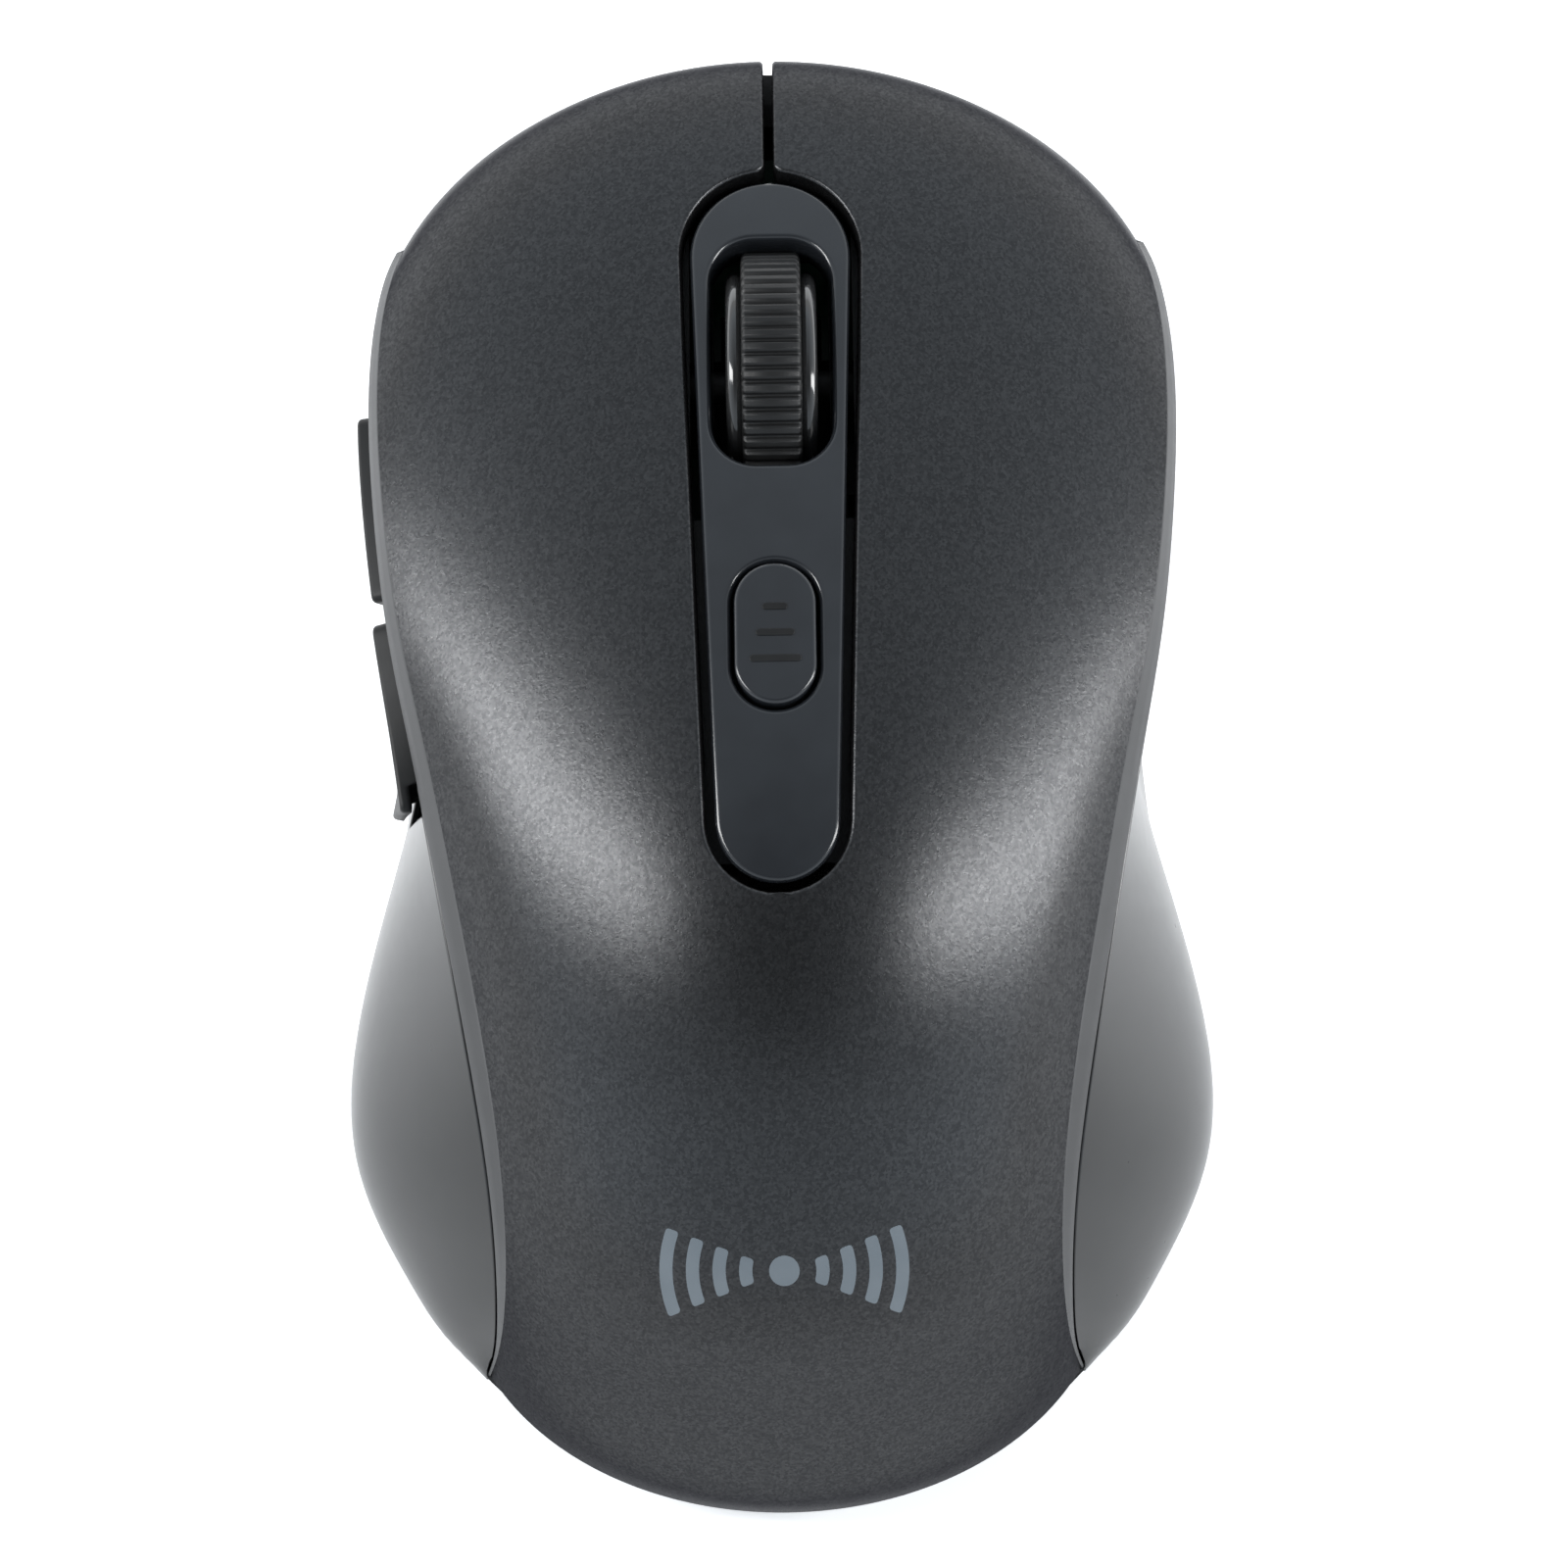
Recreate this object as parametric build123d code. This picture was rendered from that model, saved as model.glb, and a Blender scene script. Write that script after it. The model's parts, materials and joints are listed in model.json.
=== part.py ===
from build123d import *
import math
import os
import numpy as np

# Wireless computer mouse with six keys. Millimetres, +Z up, +Y to the front (the keys), +X to the right.
# The origin is the middle of the footprint, on the surface that the mouse stands on.

# ---- the body's form: one row for each station, from the front lip to the rear edge ----
# crown line y, z | seam x, y, z | bevel width, height | arch in degrees
COVER_STATIONS = np.array([
    [57.6, 11.0, 29.6, 43.0, 11.0, 0.5, 0.0, 66],
    [56.6, 15.2, 30.4, 40.7, 13.2, 0.75, 1.2, 64],
    [53.0, 18.9, 31.1, 37.4, 15.0, 0.8, 1.6, 61],
    [45.5, 23.2, 31.6, 31.5, 17.4, 0.9, 1.8, 58],
    [33.0, 28.0, 31.3, 22.5, 20.2, 1.0, 2.0, 56],
    [18.0, 32.8, 30.1, 11.5, 22.7, 1.2, 2.0, 56],
    [3.0, 36.5, 28.2, 1.5, 24.4, 1.4, 1.9, 57],
    [-11.0, 38.4, 26.2, -9.0, 25.4, 1.5, 1.8, 58],
    [-24.0, 37.2, 24.3, -19.5, 25.6, 1.5, 1.6, 60],
    [-35.0, 32.4, 22.9, -28.5, 24.4, 1.3, 1.4, 62],
    [-44.5, 24.4, 22.3, -36.0, 20.6, 1.0, 1.2, 64],
    [-51.8, 15.0, 22.5, -42.0, 13.4, 0.6, 0.9, 66],
    [-56.7, 8.0, 23.2, -45.3, 7.2, 0.3, 0.4, 67],
    [-57.6, 4.6, 23.8, -46.5, 4.6, 0.3, 0.0, 66],
])
# side panel: swell x, y, z | foot x, y, at the same stations except the last
PANEL_STATIONS = np.array([
    [29.9, 42.9, 7.5, 29.3, 42.6],
    [30.3, 40.6, 9.0, 29.9, 40.3],
    [30.7, 37.3, 10.0, 30.3, 37.1],
    [30.6, 31.4, 11.5, 30.6, 31.3],
    [29.5, 22.4, 13.0, 30.2, 22.3],
    [27.2, 11.5, 14.0, 29.2, 11.5],
    [27.4, 1.3, 13.0, 29.3, 1.0],
    [32.4, -9.3, 12.0, 30.9, -9.8],
    [36.3, -20.2, 11.0, 33.1, -21.0],
    [36.6, -29.8, 11.0, 32.6, -30.6],
    [32.2, -38.0, 9.5, 29.2, -39.0],
    [28.2, -43.0, 7.8, 26.2, -43.9],
    [23.9, -46.1, 5.8, 23.7, -46.8],
])

# ---- shells ----
WALL = 2.0                 # cover and keys
PANEL_WALL = 1.8           # side panels
PANEL_FOOT_Z = 4.5
COVER_FOOT_Z = 4.6
SEAM_GAP = 0.22
KEY_SPLIT = 0.7            # gap between the two keys
FLEX_Y = -9.0              # line where the keys bend
FLEX_GAP = 0.35
KEY_TRAVEL = math.radians(1.0)

# ---- centre strip ----
SLOT_FRONT = (39.7, 7.0)   # centre y and radius of the slot's front end
SLOT_REAR = (-4.9, 5.5)
STRIP_GAP = 0.75
STRIP_SINK = 0.35
STRIP_DEPTH = 3.4
WHEEL_SLOT = (22.7, 41.1, 4.75, 2.9)   # rear y, front y, half width, corner radius
DPI_REAR_Y = 3.8
DPI_FRONT_Y = 14.7
DPI_HALF = 3.1
DPI_GAP = 0.3
DPI_BOARD_TOP = 27.1

# ---- scroll wheel ----
WHEEL_Y = 29.9
WHEEL_Z = 20.9
TYRE_R = 10.5
TYRE_INNER_R = 8.7
TYRE_WIDTH = 4.6
TYRE_RIBS = 60
HUB_WIDTH = 7.0
HUB_R = 8.9
AXLE_R = 1.25
PRESS_TRAVEL = 0.6

# ---- bottom ----
GLIDE_Z = 0.8
FLOOR_TOP = 2.4
TRAY_TOP = 4.35
TRAY_WALL = 1.8
TRAY_DRAFT = 1.6
FRONT_WALL_TOP = 12.2
APRON_TOP = 9.5            # outer part of the front wall, below the keys' lips
FRONT_SETBACK = 3.0        # from the outline to the taller inner part of the front wall
DOOR_HALF = 16.5
DOOR_TONGUE = 0.9
DOOR_FRONT_Y = 7.0
DOOR_TOP = 2.25
LEDGE_TOP = 3.6

# ---- power ----
CELL_R = 7.2
CELL_Z = 10.1
CELL_REAR_Y = -44.6
CELL_LENGTH = 50.5
NUB_LENGTH = 1.0
SPRING_ROOM = 2.6
BAY_WALL = 1.2

# ---- electronics ----
BOARD_Z = 8.0
BOARD_THICK = 1.6
BOARD_TOP = BOARD_Z + BOARD_THICK
SENSOR_Y = 13.2
SWITCH_X = 14.6
SWITCH_Y = 38.5
SWITCH_SIZE = (5.8, 12.8, 6.5)
SIDE_SPANS = {"forward": (13.8, 28.7), "back": (-3.1, 12.1)}
SIDE_BOTTOM_Z = 14.0
SIDE_PROUD = 1.2
SIDE_TRAVEL = 0.7
SCREW_X = 22.2
SCREW_Y = -12.0
BOARD_SCREWS = [(side * x, y) for side in (-1, 1) for x, y in ((19.5, 12.0), (20.5, 33.0))]

PARTS = {}


# ---- curves and surfaces ----
def chord_steps(points):
    """0 to 1 along a row of points, in proportion to the distance between them"""
    steps = np.linalg.norm(np.diff(points, axis=0), axis=1)
    steps = np.concatenate([[0.0], np.cumsum(steps)])
    return steps / steps[-1]


def spline_table(knots, rows):
    """second derivatives of the natural cubic spline through the rows"""
    count = len(knots)
    h = np.diff(knots)
    system = np.eye(count)
    right = np.zeros_like(rows)
    for i in range(1, count - 1):
        system[i, i - 1:i + 2] = h[i - 1], 2 * (h[i - 1] + h[i]), h[i]
        right[i] = 6 * ((rows[i + 1] - rows[i]) / h[i] - (rows[i] - rows[i - 1]) / h[i - 1])
    return np.linalg.solve(system, right)


KNOTS = chord_steps(COVER_STATIONS[:, 0:2])
PANEL_KNOTS = KNOTS[:-1]
COVER_BEND = spline_table(KNOTS, COVER_STATIONS)
PANEL_BEND = spline_table(PANEL_KNOTS, PANEL_STATIONS)


def along(knots, rows, bend, v):
    """the spline's row at v"""
    k = int(np.clip(np.searchsorted(knots, v) - 1, 0, len(knots) - 2))
    h = knots[k + 1] - knots[k]
    a = (knots[k + 1] - v) / h
    b = (v - knots[k]) / h
    curve = (a ** 3 - a) * bend[k] + (b ** 3 - b) * bend[k + 1]
    return a * rows[k] + b * rows[k + 1] + curve * h * h / 6


def crown(u, v):
    """point on the cover, u from -1 (left crease) to 1 (right crease), v from 0 (lip) to 1 (rear edge)"""
    cy, cz, sx, sy, sz, bevel, rise, arch = along(KNOTS, COVER_STATIONS, COVER_BEND, v)
    arch = math.radians(arch)
    drop = (1 - math.cos(arch * u)) / (1 - math.cos(arch))
    x = (sx - bevel) * math.sin(arch * u) / math.sin(arch)
    return np.array([x, cy + (sy - cy) * drop, cz + (sz + rise - cz) * drop])


def seam(v):
    """point on the right-hand seam, under the bevel"""
    return along(KNOTS, COVER_STATIONS, COVER_BEND, v)[2:5]


def inward(surface, u, v, depth):
    """the surface's point moved into the body by depth"""
    step = 1e-3
    u0, u1 = max(u - step, -1), min(u + step, 1)
    v0, v1 = max(v - step, 0), min(v + step, 1)
    across = surface(u1, v) - surface(u0, v)
    down = surface(u, v1) - surface(u, v0)
    normal = np.cross(down, across)
    return surface(u, v) - depth * normal / np.linalg.norm(normal)


def key_drop(y):
    """how far the cover's edge comes down at y when a key is pressed"""
    return max(0.0, y - FLEX_Y) * math.sin(KEY_TRAVEL)


def rim_frame(v):
    """at the seam: the way the cover's rim goes inward, and the way that leads off that rim"""
    rim = inward(crown, 1, v, WALL) - seam(v)
    ahead = seam(min(v + 1e-3, 1)) - seam(max(v - 1e-3, 0))
    off = np.cross(ahead, rim)
    return rim / np.linalg.norm(rim), off / np.linalg.norm(off)


def panel(s, v):
    """point on the right side panel, s from 0 (seam) to 1 (foot)"""
    qx, qy, qz, bx, by = along(PANEL_KNOTS, PANEL_STATIONS, PANEL_BEND, v)
    off = rim_frame(v)[1]
    top = seam(v) + off * SEAM_GAP
    top[2] -= 1.3 * key_drop(top[1])
    swell = np.array([qx, qy, qz])
    foot = np.array([bx, by, PANEL_FOOT_Z])
    return (1 - s) ** 2 * top + 2 * s * (1 - s) * swell + s ** 2 * foot


def panel_level(s, v, outward):
    """the panel's point moved level, out of the body, along the rim at the top and square at the foot"""
    step = 1e-3
    ahead = panel(s, min(v + step, PANEL_KNOTS[-1])) - panel(s, max(v - step, 0))
    square = np.array([-ahead[1], ahead[0], 0]) / np.hypot(ahead[0], ahead[1])
    rim = -rim_frame(v)[0] * [1, 1, 0]
    side = (1 - s) * rim / np.linalg.norm(rim) + s * square
    return panel(s, v) + outward * side / np.linalg.norm(side)


def skin(grid):
    return Face.make_surface_from_array_of_points([[Vector(*p) for p in row] for row in grid])


def border(face, point):
    return min(face.edges(), key=lambda e: e.distance_to(Vector(*point)))


def ruled(first, second):
    return Face.make_surface_from_curves(first, second)


def triangle(a, b, c):
    return Face(Wire.make_polygon([a, b, c], close=True))


def slab(outer, inner):
    """closed solid between two grids of points of one size"""
    row = len(outer) // 2
    column = len(outer[0]) // 2
    faces = [skin(outer), skin(inner)]
    for i, j in ((0, column), (-1, column), (row, 0), (row, -1)):
        faces.append(ruled(border(faces[0], outer[i][j]), border(faces[1], inner[i][j])))
    return Solid(Shell(faces))


def crown_slab(top_depth, bottom_depth):
    us = np.linspace(-1, 1, 25)
    vs = np.linspace(0, 1, 49)
    grids = [[[inward(crown, u, v, d) for u in us] for v in vs] for d in (top_depth, bottom_depth)]
    return slab(*grids)


def under_crown(depth, low_z):
    """everything below the surface that lies depth inside the cover"""
    us = np.linspace(-0.97, 0.97, 21)
    vs = np.linspace(0.06, 0.9, 31)
    top = [[inward(crown, u, v, depth) for u in us] for v in vs]
    low = [[[p[0], p[1], low_z] for p in row] for row in top]
    return slab(top, low)


def whole_cover():
    """cover with its bevelled sides, before the keys are parted from it"""
    us = np.linspace(-1, 1, 25)
    vs = np.linspace(0, 1, 49)
    outer = [[crown(u, v) for u in us] for v in vs]
    inner = [[inward(crown, u, v, WALL) for u in us] for v in vs]
    out_face = skin(outer)
    in_face = skin(inner)
    faces = [out_face, in_face]
    for i in (0, -1):
        faces.append(ruled(border(out_face, outer[i][12]), border(in_face, inner[i][12])))
    for j, side in ((0, -1), (-1, 1)):
        crease_edge = border(out_face, outer[24][j])
        inner_edge = border(in_face, inner[24][j])
        points = [seam(v) * [side, 1, 1] for v in vs]
        if (crease_edge @ 0 - Vector(*points[0])).length > 5:
            points.reverse()
        seam_edge = Edge.make_spline([Vector(*p) for p in points])
        faces += [ruled(crease_edge, seam_edge), ruled(seam_edge, inner_edge)]
        for end in (0, 1):
            faces.append(triangle(crease_edge @ end, seam_edge @ end, inner_edge @ end))
    return Solid(Shell(faces))


def mirrored(shape):
    return shape.mirror(Plane.YZ)


# ---- small makers ----
def block(x0, x1, y0, y1, z0, z1):
    return Pos((x0 + x1) / 2, (y0 + y1) / 2, (z0 + z1) / 2) * Box(x1 - x0, y1 - y0, z1 - z0)


def post(x, y, z0, z1, radius):
    return Pos(x, y, (z0 + z1) / 2) * Cylinder(radius, z1 - z0)


def rod_x(x0, x1, y, z, radius):
    return Pos((x0 + x1) / 2, y, z) * Rot(0, 90, 0) * Cylinder(radius, x1 - x0)


def rod_y(y0, y1, x, z, radius):
    return Pos(x, (y0 + y1) / 2, z) * Rot(90, 0, 0) * Cylinder(radius, y1 - y0)


def prism(face, z0, z1):
    return extrude(Pos(0, 0, z0) * face, z1 - z0, dir=(0, 0, 1))


def rounded(x0, x1, y0, y1, radius):
    return Pos((x0 + x1) / 2, (y0 + y1) / 2) * RectangleRounded(x1 - x0, y1 - y0, radius)


def tapered_slot(inset):
    """outline of the strip's slot, drawn in by inset: two round ends joined by their tangents"""
    front_y, front_r = SLOT_FRONT
    rear_y, rear_r = SLOT_REAR
    tilt = math.asin((front_r - rear_r) / (front_y - rear_y))
    front_r -= inset
    rear_r -= inset
    ends = []
    for y, r in ((front_y, front_r), (rear_y, rear_r)):
        ends.append((r * math.cos(tilt), y - r * math.sin(tilt)))
    (fx, fy), (rx, ry) = ends
    right = Line((rx, ry), (fx, fy))
    front = ThreePointArc((fx, fy), (0, front_y + front_r), (-fx, fy))
    left = Line((-fx, fy), (-rx, ry))
    rear = ThreePointArc((-rx, ry), (0, rear_y - rear_r), (rx, ry))
    return make_face([right, front, left, rear])


def dpi_outline(inset):
    return rounded(-DPI_HALF + inset, DPI_HALF - inset, DPI_REAR_Y + inset, DPI_FRONT_Y - inset,
                   DPI_HALF - inset - 0.01)


def footprint(inset):
    """closed outline of the tray at its top, drawn in by inset"""
    front = [(0, 57.0), (8.0, 56.2), (15.5, 53.9), (21.6, 50.4), (25.8, 46.7), (28.6, 42.9)]
    sides = [(x - 0.15, y) for x, y in PANEL_STATIONS[2:, 3:5]]
    rear = [(17.0, -52.2), (9.0, -56.1), (0, -57.4)]
    half = np.array(front + sides + rear)
    other = half[-2:0:-1] * [-1, 1]
    loop = np.concatenate([half, other])
    forward = np.roll(loop, -1, axis=0) - np.roll(loop, 1, axis=0)
    normal = np.stack([forward[:, 1], -forward[:, 0]], axis=1)
    normal /= np.linalg.norm(normal, axis=1)[:, None]
    return [tuple(p) for p in loop + inset * normal]


def outline_face(inset, z):
    return Face(Wire([Edge.make_spline([Vector(x, y, z) for x, y in footprint(inset)], periodic=True)]))


# ---- cover and keys ----
def make_cover_and_keys():
    cover = whole_cover()
    under = under_crown(WALL / 2, FLOOR_TOP)
    slot = prism(tapered_slot(0), 0, 60)
    cover -= slot
    cover &= block(-50, 50, -70, 70, COVER_FOOT_Z, 60)
    rear = cover & block(-50, 50, -70, FLEX_Y, 0, 60)
    keys = cover & block(-50, 50, FLEX_Y + FLEX_GAP, 70, 0, 60)
    for side in (-1, 1):
        boss = post(side * SCREW_X, SCREW_Y, 14.2, 40, 2.7)
        boss -= post(side * SCREW_X, SCREW_Y, 0, 22, 1.2)
        rear += boss & under
    PARTS["palm_cover"] = rear
    right = keys & block(KEY_SPLIT / 2, 50, -70, 70, 0, 60)
    right += block(SWITCH_X - 1.6, SWITCH_X + 1.6, SWITCH_Y + 1.2, SWITCH_Y + 3.6, 17.1, 40) & under
    PARTS["right_key"] = right
    PARTS["left_key"] = mirrored(right)


def make_strip():
    strip = crown_slab(STRIP_SINK, STRIP_DEPTH) & prism(tapered_slot(STRIP_GAP), 0, 60)
    rear_y, front_y, half, corner = WHEEL_SLOT
    strip -= prism(rounded(-half, half, rear_y, front_y, corner), 0, 60)
    strip -= rod_x(-TYRE_WIDTH / 2 - 0.6, TYRE_WIDTH / 2 + 0.6, WHEEL_Y, WHEEL_Z, TYRE_R + 0.7)
    strip -= prism(dpi_outline(-DPI_GAP), 0, 60)
    PARTS["centre_strip"] = strip
    button = crown_slab(-0.15, 2.4) & prism(dpi_outline(0), 0, 60)
    middle = (DPI_REAR_Y + DPI_FRONT_Y) / 2
    PARTS["dpi_button"] = button + block(-1.6, 1.6, middle - 1.6, middle + 1.6, DPI_BOARD_TOP + 3.9, 34.0)
    PARTS["dpi_board"] = block(-5.5, 5.5, -0.8, 18.2, DPI_BOARD_TOP - 1.2, DPI_BOARD_TOP)
    switch = block(-3, 3, middle - 3, middle + 3, DPI_BOARD_TOP, DPI_BOARD_TOP + 3.1)
    PARTS["dpi_switch"] = switch - post(0, middle, DPI_BOARD_TOP + 1.2, DPI_BOARD_TOP + 4, 1.8)
    PARTS["dpi_plunger"] = post(0, middle, DPI_BOARD_TOP + 1.9, DPI_BOARD_TOP + 3.9, 1.5)


def make_inner_frame():
    """bridge under the strip that carries it, with an opening for the wheel"""
    plate = crown_slab(STRIP_DEPTH + 0.02, STRIP_DEPTH + 1.6) & block(-8.2, 8.2, -8.0, 45.6, 0, 60)
    plate -= block(-6.3, 6.3, 18.6, 43.7, 0, 60)
    plate -= block(-3.9, 3.9, 5.0, 13.4, 0, 60)
    under = under_crown(STRIP_DEPTH + 0.8, FLOOR_TOP)
    legs = []
    for side in (-1, 1):
        legs.append(block(side * 7.1 - 1.0, side * 7.1 + 1.0, 43.9, 45.6, BOARD_TOP, 40))
        legs.append(block(side * 4.5 - 1.0, side * 4.5 + 1.0, -7.4, -4.4, CELL_Z + 6.4, 40))
    for y in (1.2, 16.4):
        legs.append(block(-1.5, 1.5, y - 1.2, y + 1.2, DPI_BOARD_TOP, 40))
    for leg in legs:
        plate += leg & under
    PARTS["inner_frame"] = plate - rod_y(-20, 0, 0, CELL_Z, CELL_R + 0.4 + BAY_WALL)


# ---- side panels and side buttons ----
def panel_grid(outward, s0, s1):
    rows = np.linspace(s0, s1, 13)
    columns = np.linspace(0, PANEL_KNOTS[-1], 41)
    return [[panel_level(s, v, outward) for v in columns] for s in rows]


def behind_panel(outward, x):
    """everything between the panel's surface, moved out, and an upright plane inside"""
    near = panel_grid(outward, 0.03, 0.8)
    far = [[[x, p[1], p[2]] for p in row] for row in near]
    return slab(near, far)


def side_prism(y0, y1, z0, radius):
    """window across the left side, rounded at its lower corners"""
    window = Pos((y0 + y1) / 2, z0 + 10) * RectangleRounded(y1 - y0, 20, radius)
    return extrude(Plane.YZ.offset(-50) * window, 40, dir=(1, 0, 0))


def make_side_panels():
    right = slab(panel_grid(0, 0, 1), panel_grid(-PANEL_WALL, 0, 1))
    PARTS["right_side_panel"] = right
    window_rear = SIDE_SPANS["back"][0] - 0.4
    window_front = SIDE_SPANS["forward"][1] + 0.4
    window = side_prism(window_rear, window_front, SIDE_BOTTOM_Z - 0.4, 1.4)
    PARTS["left_side_panel"] = mirrored(right) - window


def make_side_buttons():
    """two keys in the window, one node each, and the switches behind them"""
    body = mirrored(slab(panel_grid(SIDE_PROUD, 0.03, 0.8), panel_grid(-2.4, 0.03, 0.8)))
    behind = mirrored(behind_panel(-1.5, 24.4))
    for name, (rear_y, front_y) in SIDE_SPANS.items():
        key = body & side_prism(rear_y, front_y, SIDE_BOTTOM_Z, 1.2)
        middle = (rear_y + front_y) / 2
        stem = block(-40, -20, middle - 1.2, middle + 1.2, 15.6, 18.4) & behind
        PARTS[name + "_button"] = key + stem
        switch = block(-23.6, -19.6, middle - 3, middle + 3, 14.0, 20.0)
        switch -= rod_x(-24.0, -22.0, middle, 17.0, 1.95)
        PARTS[name + "_switch"] = switch
        PARTS[name + "_plunger"] = rod_x(-24.4, -22.8, middle, 17.0, 1.6)
    board = block(-19.6, -18.4, -5.0, 29.0, 11.5, 21.5)
    PARTS["side_button_board"] = board
    foot = [block(-21.0, -18.0, y - 1.5, y + 1.5, BOARD_TOP, 11.5) for y in (17.5, 26.0)]
    PARTS["side_board_blocks"] = Compound(foot)


# ---- bottom shell, battery bay and door ----
def bay_hollow():
    """space for the cell, and the pocket beside it for the receiver"""
    trough = rod_y(CELL_REAR_Y - 0.6, 6.4, 0, CELL_Z, CELL_R + 0.4)
    trough += rod_y(CELL_REAR_Y - SPRING_ROOM, 0, 0, CELL_Z, 5.2)
    trough += block(-CELL_R - 0.4, CELL_R + 0.4, CELL_REAR_Y - 0.6, 6.4, 0, CELL_Z)
    pocket = block(9.2, 16.2, -34.0, -12.6, 0, 18.2)
    return trough + pocket


def make_bottom_shell():
    low = outline_face(TRAY_DRAFT, GLIDE_Z)
    high = outline_face(0, TRAY_TOP)
    tray = loft([low, high], ruled=True)
    tray -= prism(outline_face(TRAY_WALL + 0.6, 0), FLOOR_TOP, 20)
    ledge = block(-18.9, 18.9, -52.0, 9.4, FLOOR_TOP, LEDGE_TOP) & prism(outline_face(1.2, 0), 0, 10)
    tray += ledge
    apron = outline_face(0.05, 0) - outline_face(0.05 + TRAY_WALL, 0)
    shelf = outline_face(0.05, 0) - outline_face(FRONT_SETBACK + TRAY_WALL, 0)
    upright = outline_face(FRONT_SETBACK, 0) - outline_face(FRONT_SETBACK + TRAY_WALL, 0)
    tray += prism(apron, TRAY_TOP - 1.5, APRON_TOP) & block(-30, 30, 43.3, 60, 0, 60)
    front_wall = prism(shelf, APRON_TOP - 1.4, APRON_TOP)
    front_wall += prism(upright, APRON_TOP - 1.4, FRONT_WALL_TOP)
    tray += front_wall & block(-25.4, 25.4, 43.3, 60, 0, 60)
    bay = rod_y(CELL_REAR_Y - 1.8, 7.4, 0, CELL_Z, CELL_R + 0.4 + BAY_WALL)
    bay += rod_y(CELL_REAR_Y - SPRING_ROOM - BAY_WALL, 0, 0, CELL_Z, 5.2 + BAY_WALL)
    bay += block(-CELL_R - 1.6, CELL_R + 1.6, CELL_REAR_Y - 1.8, 7.4, LEDGE_TOP - 1.2, CELL_Z)
    bay += block(8.0, 17.4, -35.2, -11.4, LEDGE_TOP - 1.2, 19.4)
    tray += bay & block(-30, 30, -60, 60, LEDGE_TOP - 1.2, 30) & under_crown(WALL + 0.35, 0)
    tray -= bay_hollow()
    door_space = block(-DOOR_HALF - 0.25, DOOR_HALF + 0.25, -60, DOOR_FRONT_Y + 0.3, 0, 1.7)
    tongue_space = block(-DOOR_HALF - DOOR_TONGUE - 0.25, DOOR_HALF + DOOR_TONGUE + 0.25,
                         -60, DOOR_FRONT_Y + 0.3, 1.55, FLOOR_TOP)
    tray -= door_space + tongue_space
    tray -= prism(rounded(-4.5, 4.5, SENSOR_Y - 4.0, SENSOR_Y + 4.0, 2), 0, 6)
    tray -= prism(rounded(-15.0, -11.4, 18.4, 25.6, 1.2), 0, 6)
    for side in (-1, 1):
        x = side * SCREW_X
        tray += post(x, SCREW_Y, FLOOR_TOP - 0.5, 14.0, 2.7)
        tray -= post(x, SCREW_Y, 0, 3.2, 2.3) + post(x, SCREW_Y, 0, 20, 1.3)
        tray += block(side * 7.4 - 0.7, side * 7.4 + 0.7, WHEEL_Y - 3.5, WHEEL_Y + 3.5, FLOOR_TOP - 0.5, 21.6)
        tray -= block(side * 7.4 - 1, side * 7.4 + 1, WHEEL_Y - 1.45, WHEEL_Y + 1.45, 18.4, 30)
    for x, y in BOARD_SCREWS:
        tray += post(x, y, FLOOR_TOP - 0.5, BOARD_Z, 2.2)
        tray -= post(x, y, 3.5, 20, 0.9)
    PARTS["bottom_shell"] = tray
    screws = []
    for side in (-1, 1):
        head = post(side * SCREW_X, SCREW_Y, 1.3, 3.1, 2.1)
        screws.append(head + post(side * SCREW_X, SCREW_Y, 3.1, 20.5, 1.1))
    PARTS["case_screws"] = Compound(screws)


def make_door():
    region = outline_face(TRAY_DRAFT + 0.15, 0)
    plate = prism(region, 0.95, DOOR_TOP) & block(-DOOR_HALF, DOOR_HALF, -60, DOOR_FRONT_Y, 0, 5)
    tongues = block(-DOOR_HALF - DOOR_TONGUE, DOOR_HALF + DOOR_TONGUE, -44.0, 2.0, 1.7, DOOR_TOP)
    door = plate + tongues
    for i in range(5):
        door -= block(-6.0, 6.0, -50.5 + i * 1.6, -49.8 + i * 1.6, 0.5, 1.25)
    PARTS["battery_door"] = door


def make_glides():
    front = prism(outline_face(4.2, 0) - outline_face(10.2, 0), 0, GLIDE_Z) & block(-17, 17, 40, 60, -1, 5)
    PARTS["front_glide"] = front
    for side, name in ((-1, "left_rear_glide"), (1, "right_rear_glide")):
        span = block(18.4, 40, -36, -8, -1, 5)
        pad = prism(outline_face(4.0, 0), 0, GLIDE_Z) & span
        PARTS[name] = pad if side == 1 else mirrored(pad)
    PARTS["label_plate"] = prism(rounded(-11.0, 11.0, 26.5, 38.5, 1.5), GLIDE_Z - 0.25, GLIDE_Z)


# ---- power ----
def coil(x, y, z0, z1, radius, wire, turns):
    path = Helix(pitch=(z1 - z0) / turns, height=z1 - z0, radius=radius)
    section = Plane(origin=path @ 0, z_dir=path % 0) * Circle(wire)
    return Pos(x, y, z0) * sweep(section, path=path)


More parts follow.
